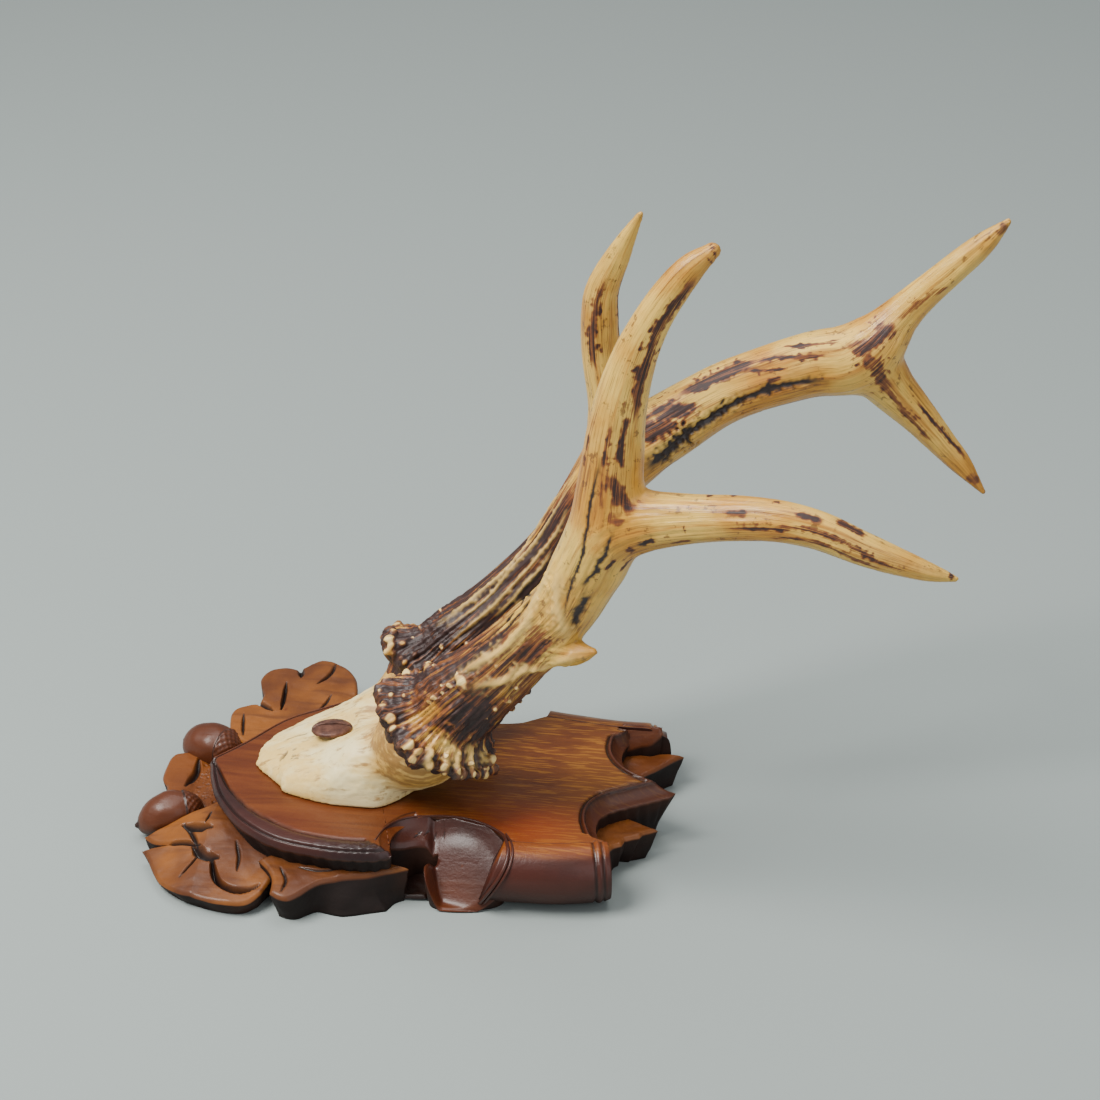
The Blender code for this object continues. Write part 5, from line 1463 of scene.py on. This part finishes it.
roundForms = {
    "acorns": {                 # centre, heading in degrees, half length, half width, tip's drop
        "near_acorn": ((-79.0, -18.0, 8.0), 204.0, 11.4, 7.4, 3.0),
        "far_acorn": ((-73.5, 19.5, 10.2), 160.0, 11.4, 8.2, 1.0)},
    "rolls": {                  # route of the crest, height above which it has the field's colour
        "near_roll": ([(38.0, -38.2), (50.0, -37.8), (60.0, -36.4), (71.2, -33.5)], 21.6),
        "far_roll": ([(42.0, 36.6), (47.3, 35.7), (56.7, 34.4), (65.5, 33.5), (71.2, 33.4),
                      (78.6, 33.7), (84.0, 34.5)], 19.5)},
    "rollRadius": 10.8,
    "rollLift": 0.5,
    "lipHeight": 18.8,          # the far roll's inner wall is a lip above this
    "endDrop": 3.5,
    "rollEnd": [                # before the end, change of radius
        (-5.8, 0.0), (-5.1, -0.75), (-4.5, 0.05), (-3.7, 0.35), (-3.0, 0.05), (-2.4, -0.75),
        (-1.9, -0.1), (0.0, -0.7)],
    "rollGrooves": [            # before the end, share of the cuts' colour
        (-5.8, 0), (-5.1, 1), (-4.5, 0), (-3.0, 0), (-2.4, 1), (-1.9, 0)],
    "rollStart": (14.0, 0.42, 22.2),   # its length, how much it leans, and from which height
    "cup": (0.08, -0.46, -0.40),   # how much wider, and between which shares it ends
    "nib": 0.08,
    "studs": (0.22, 26, 16),    # height, then how many along and round
    "facets": (0.5, 6.0),       # height and size
}


# An egg with a nib, and a wider studded cup over its rear: radius sin(fall) round its length.
def makeAcorn(name, centre, heading, halfLength, halfWidth, drop, material):
    fall = np.linspace(0.02, math.pi - 0.02, 110)[:, None]
    turn = np.linspace(0, 2 * math.pi, 150, endpoint=False)[None, :]
    along = np.cos(fall) + 0 * turn
    widening, *cupEdge = roundForms["cup"]
    cup = 1 - smoothstep(*cupEdge, along)
    out = np.sin(fall) * (1 + widening * cup) + 0 * turn
    length = halfLength * (along + roundForms["nib"] * smoothstep(0.985, 1.0, along))
    x, y, z = length, halfWidth * out * np.cos(turn), halfWidth * out * np.sin(turn)
    studHeight, studsAlong, studsRound = roundForms["studs"]
    studs = np.sin(fall * studsAlong) * np.sin(turn * studsRound)
    facetHeight, facetSize = roundForms["facets"]
    solid = np.stack([x, y, z], 2).reshape(-1, 3)
    facets = facetHeight * noise(solid / facetSize).reshape(x.shape)
    swell = 1 + (studHeight * studs * cup + facets) / halfWidth
    y, z = y * swell, z * swell - drop * np.clip(along, 0, 1) ** 2
    turned = math.radians(heading)
    spots = np.stack([x * math.cos(turned) - y * math.sin(turned) + centre[0],
                      x * math.sin(turned) + y * math.cos(turned) + centre[1],
                      z + centre[2]], 2)
    points, faces = ringMesh(spots)
    points[:, 2] = np.maximum(points[:, 2], 0.0)
    nib = smoothstep(0.93, 0.99, along)
    cut = np.r_[(bell(along, -0.43, 0.03) + 0.3 * cup * (studs < -0.2) + 0.8 * nib).ravel(), 0, 0]
    # Painted shade: the wall colour near the floor. Painted sheen: the acorn's violet tint.
    low = 1 - smoothstep(0.5, 6, points[:, 2])
    addPiece(name, points, outwardFaces(points, faces), material,
             oakTraits(len(points), cut=np.clip(cut, 0, 1), violet=0.55, leaf=0.3, wall=low))


# A half-round roll: a rod along its crest, its inner half flattened onto the board's edge.
def makeRoll(name, route, field, material):
    radius = roundForms["rollRadius"]
    samples = smoothPath([(x, y, radius, radius) for x, y in route], 0.45)
    back, extra = zip(*roundForms["rollEnd"])
    steps = pathSteps(samples[:, :3])
    samples[:, 3] += np.interp(steps - steps[-1], back, extra)
    samples[:, 2] = radius + roundForms["rollLift"]
    rings = tubeRings(samples, 180, 1.0)
    crest = samples[:, None, 1]
    side = math.copysign(1, route[0][1])
    inner = side * (rings[:, :, 1] - crest) < -0.35
    rings[:, :, 1] = side * np.maximum(side * rings[:, :, 1], side * crest - 0.4)
    startLength, startLean, startTop = roundForms["rollStart"]
    start = np.clip(1 - steps / startLength, 0, 1)[:, None]
    rings[:, :, 0] -= start * startLean * (startTop - rings[:, :, 2])
    if side > 0:
        end = smoothstep(-9, 0, steps - steps[-1])[:, None]
        rings[:, :, 2] -= roundForms["endDrop"] * end ** 2 * np.clip(rings[:, :, 2] / 22, 0, 1)
    points, faces = ringMesh(rings)
    points[:, 2] = np.maximum(points[:, 2], 0.0)
    inner = np.r_[inner.ravel(), False, False]
    groove = np.interp(steps - steps[-1], *zip(*roundForms["rollGrooves"]))
    # Painted shade: the wall colour towards the roll's foot and on its inner face under the lip.
    # Painted sheen: the violet colour below the field's height.
    low = 1 - smoothstep(1, 13, points[:, 2])
    under = inner & (points[:, 2] < roundForms["lipHeight"])
    turned = np.maximum(1 - smoothstep(field - 2.2, field, points[:, 2]), inner)
    addPiece(name, points, outwardFaces(points, faces), material, oakTraits(
        len(points), cut=np.r_[np.repeat(groove, rings.shape[1]), 0, 0], violet=0.92 * turned,
        wall=np.maximum(low, under), ray=1 - turned, glow=0.3 * (side < 0)))


antlerMaterial = antlerFinish()
for antlerName, antlerPlan in antlers.items():
    makeAntler(antlerName, antlerPlan, antlerMaterial)
makeSkull(boneFinish())
makeScrew(rustFinish())
oakMaterial = oakFinish()
makeShield(oakMaterial)
for acornName, acornPlan in roundForms["acorns"].items():
    makeAcorn(acornName, *acornPlan, oakMaterial)
for rollName, rollPlan in roundForms["rolls"].items():
    makeRoll(rollName, *rollPlan, oakMaterial)

studio = {
    "floorColor": (0.29, 0.33, 0.32),
    "floorHalf": 6.0,
    "floorRoughness": 0.75,
    "world": 0.38,
    "worldColor": (0.9, 0.93, 0.95),
    "aim": (0.05, 0.0, 0.08),   # what the lights point at, in metres
    "lights": {                 # place in metres, size, power in watts, colour
        "key": ((-0.65, -0.35, 1.25), 0.7, 34.0, (1.0, 0.98, 0.94)),
        "fill": ((0.9, -0.9, 0.7), 1.2, 6.0, (0.95, 0.97, 1.0)),
        "top": ((0.1, 0.3, 1.5), 1.0, 10.0, (1.0, 1.0, 1.0)),
    },
}


# A floor, an even grey-blue world and three square lights that face the aim.
def makeStudio():
    mesh = bpy.data.meshes.new("floor")
    half = studio["floorHalf"]
    mesh.from_pydata([(-half, -half, 0), (half, -half, 0), (half, half, 0), (-half, half, 0)],
                     [], [(0, 1, 2, 3)])
    floor = bpy.data.objects.new("floor", mesh)
    bpy.context.scene.collection.objects.link(floor)
    look = Finish("floor", {})
    look.shader.inputs["Base Color"].default_value = (*studio["floorColor"], 1.0)
    look.shader.inputs["Roughness"].default_value = studio["floorRoughness"]
    mesh.materials.append(look.material)
    world = bpy.data.worlds.new("studio")
    world.use_nodes = True
    backdrop = world.node_tree.nodes["Background"]
    backdrop.inputs["Color"].default_value = (*studio["worldColor"], 1.0)
    backdrop.inputs["Strength"].default_value = studio["world"]
    bpy.context.scene.world = world
    aim = Vector(studio["aim"])
    for name, (place, size, power, color) in studio["lights"].items():
        lamp = bpy.data.lights.new(name, "AREA")
        lamp.shape = "SQUARE"
        lamp.size = size
        lamp.energy = power
        lamp.color = color
        light = bpy.data.objects.new(name, lamp)
        light.location = place
        light.rotation_euler = (aim - Vector(place)).to_track_quat("-Z", "Y").to_euler()
        bpy.context.scene.collection.objects.link(light)


# The photograph's camera: its focal length is the focal pixels over the image's, times the film.
def makeCamera():
    lens = bpy.data.cameras.new("camera")
    lens.sensor_width = photoView["filmWidth"]
    lens.lens = photoView["focalPixels"] / photoView["imagePixels"] * lens.sensor_width
    lens.clip_start = photoView["clipStart"]
    camera = bpy.data.objects.new("camera", lens)
    turn = Matrix(viewAxes()).transposed()
    camera.matrix_world = Matrix.Translation(Vector(photoView["place"]) * mm) @ turn.to_4x4()
    bpy.context.scene.collection.objects.link(camera)
    bpy.context.scene.camera = camera


makeStudio()
makeCamera()
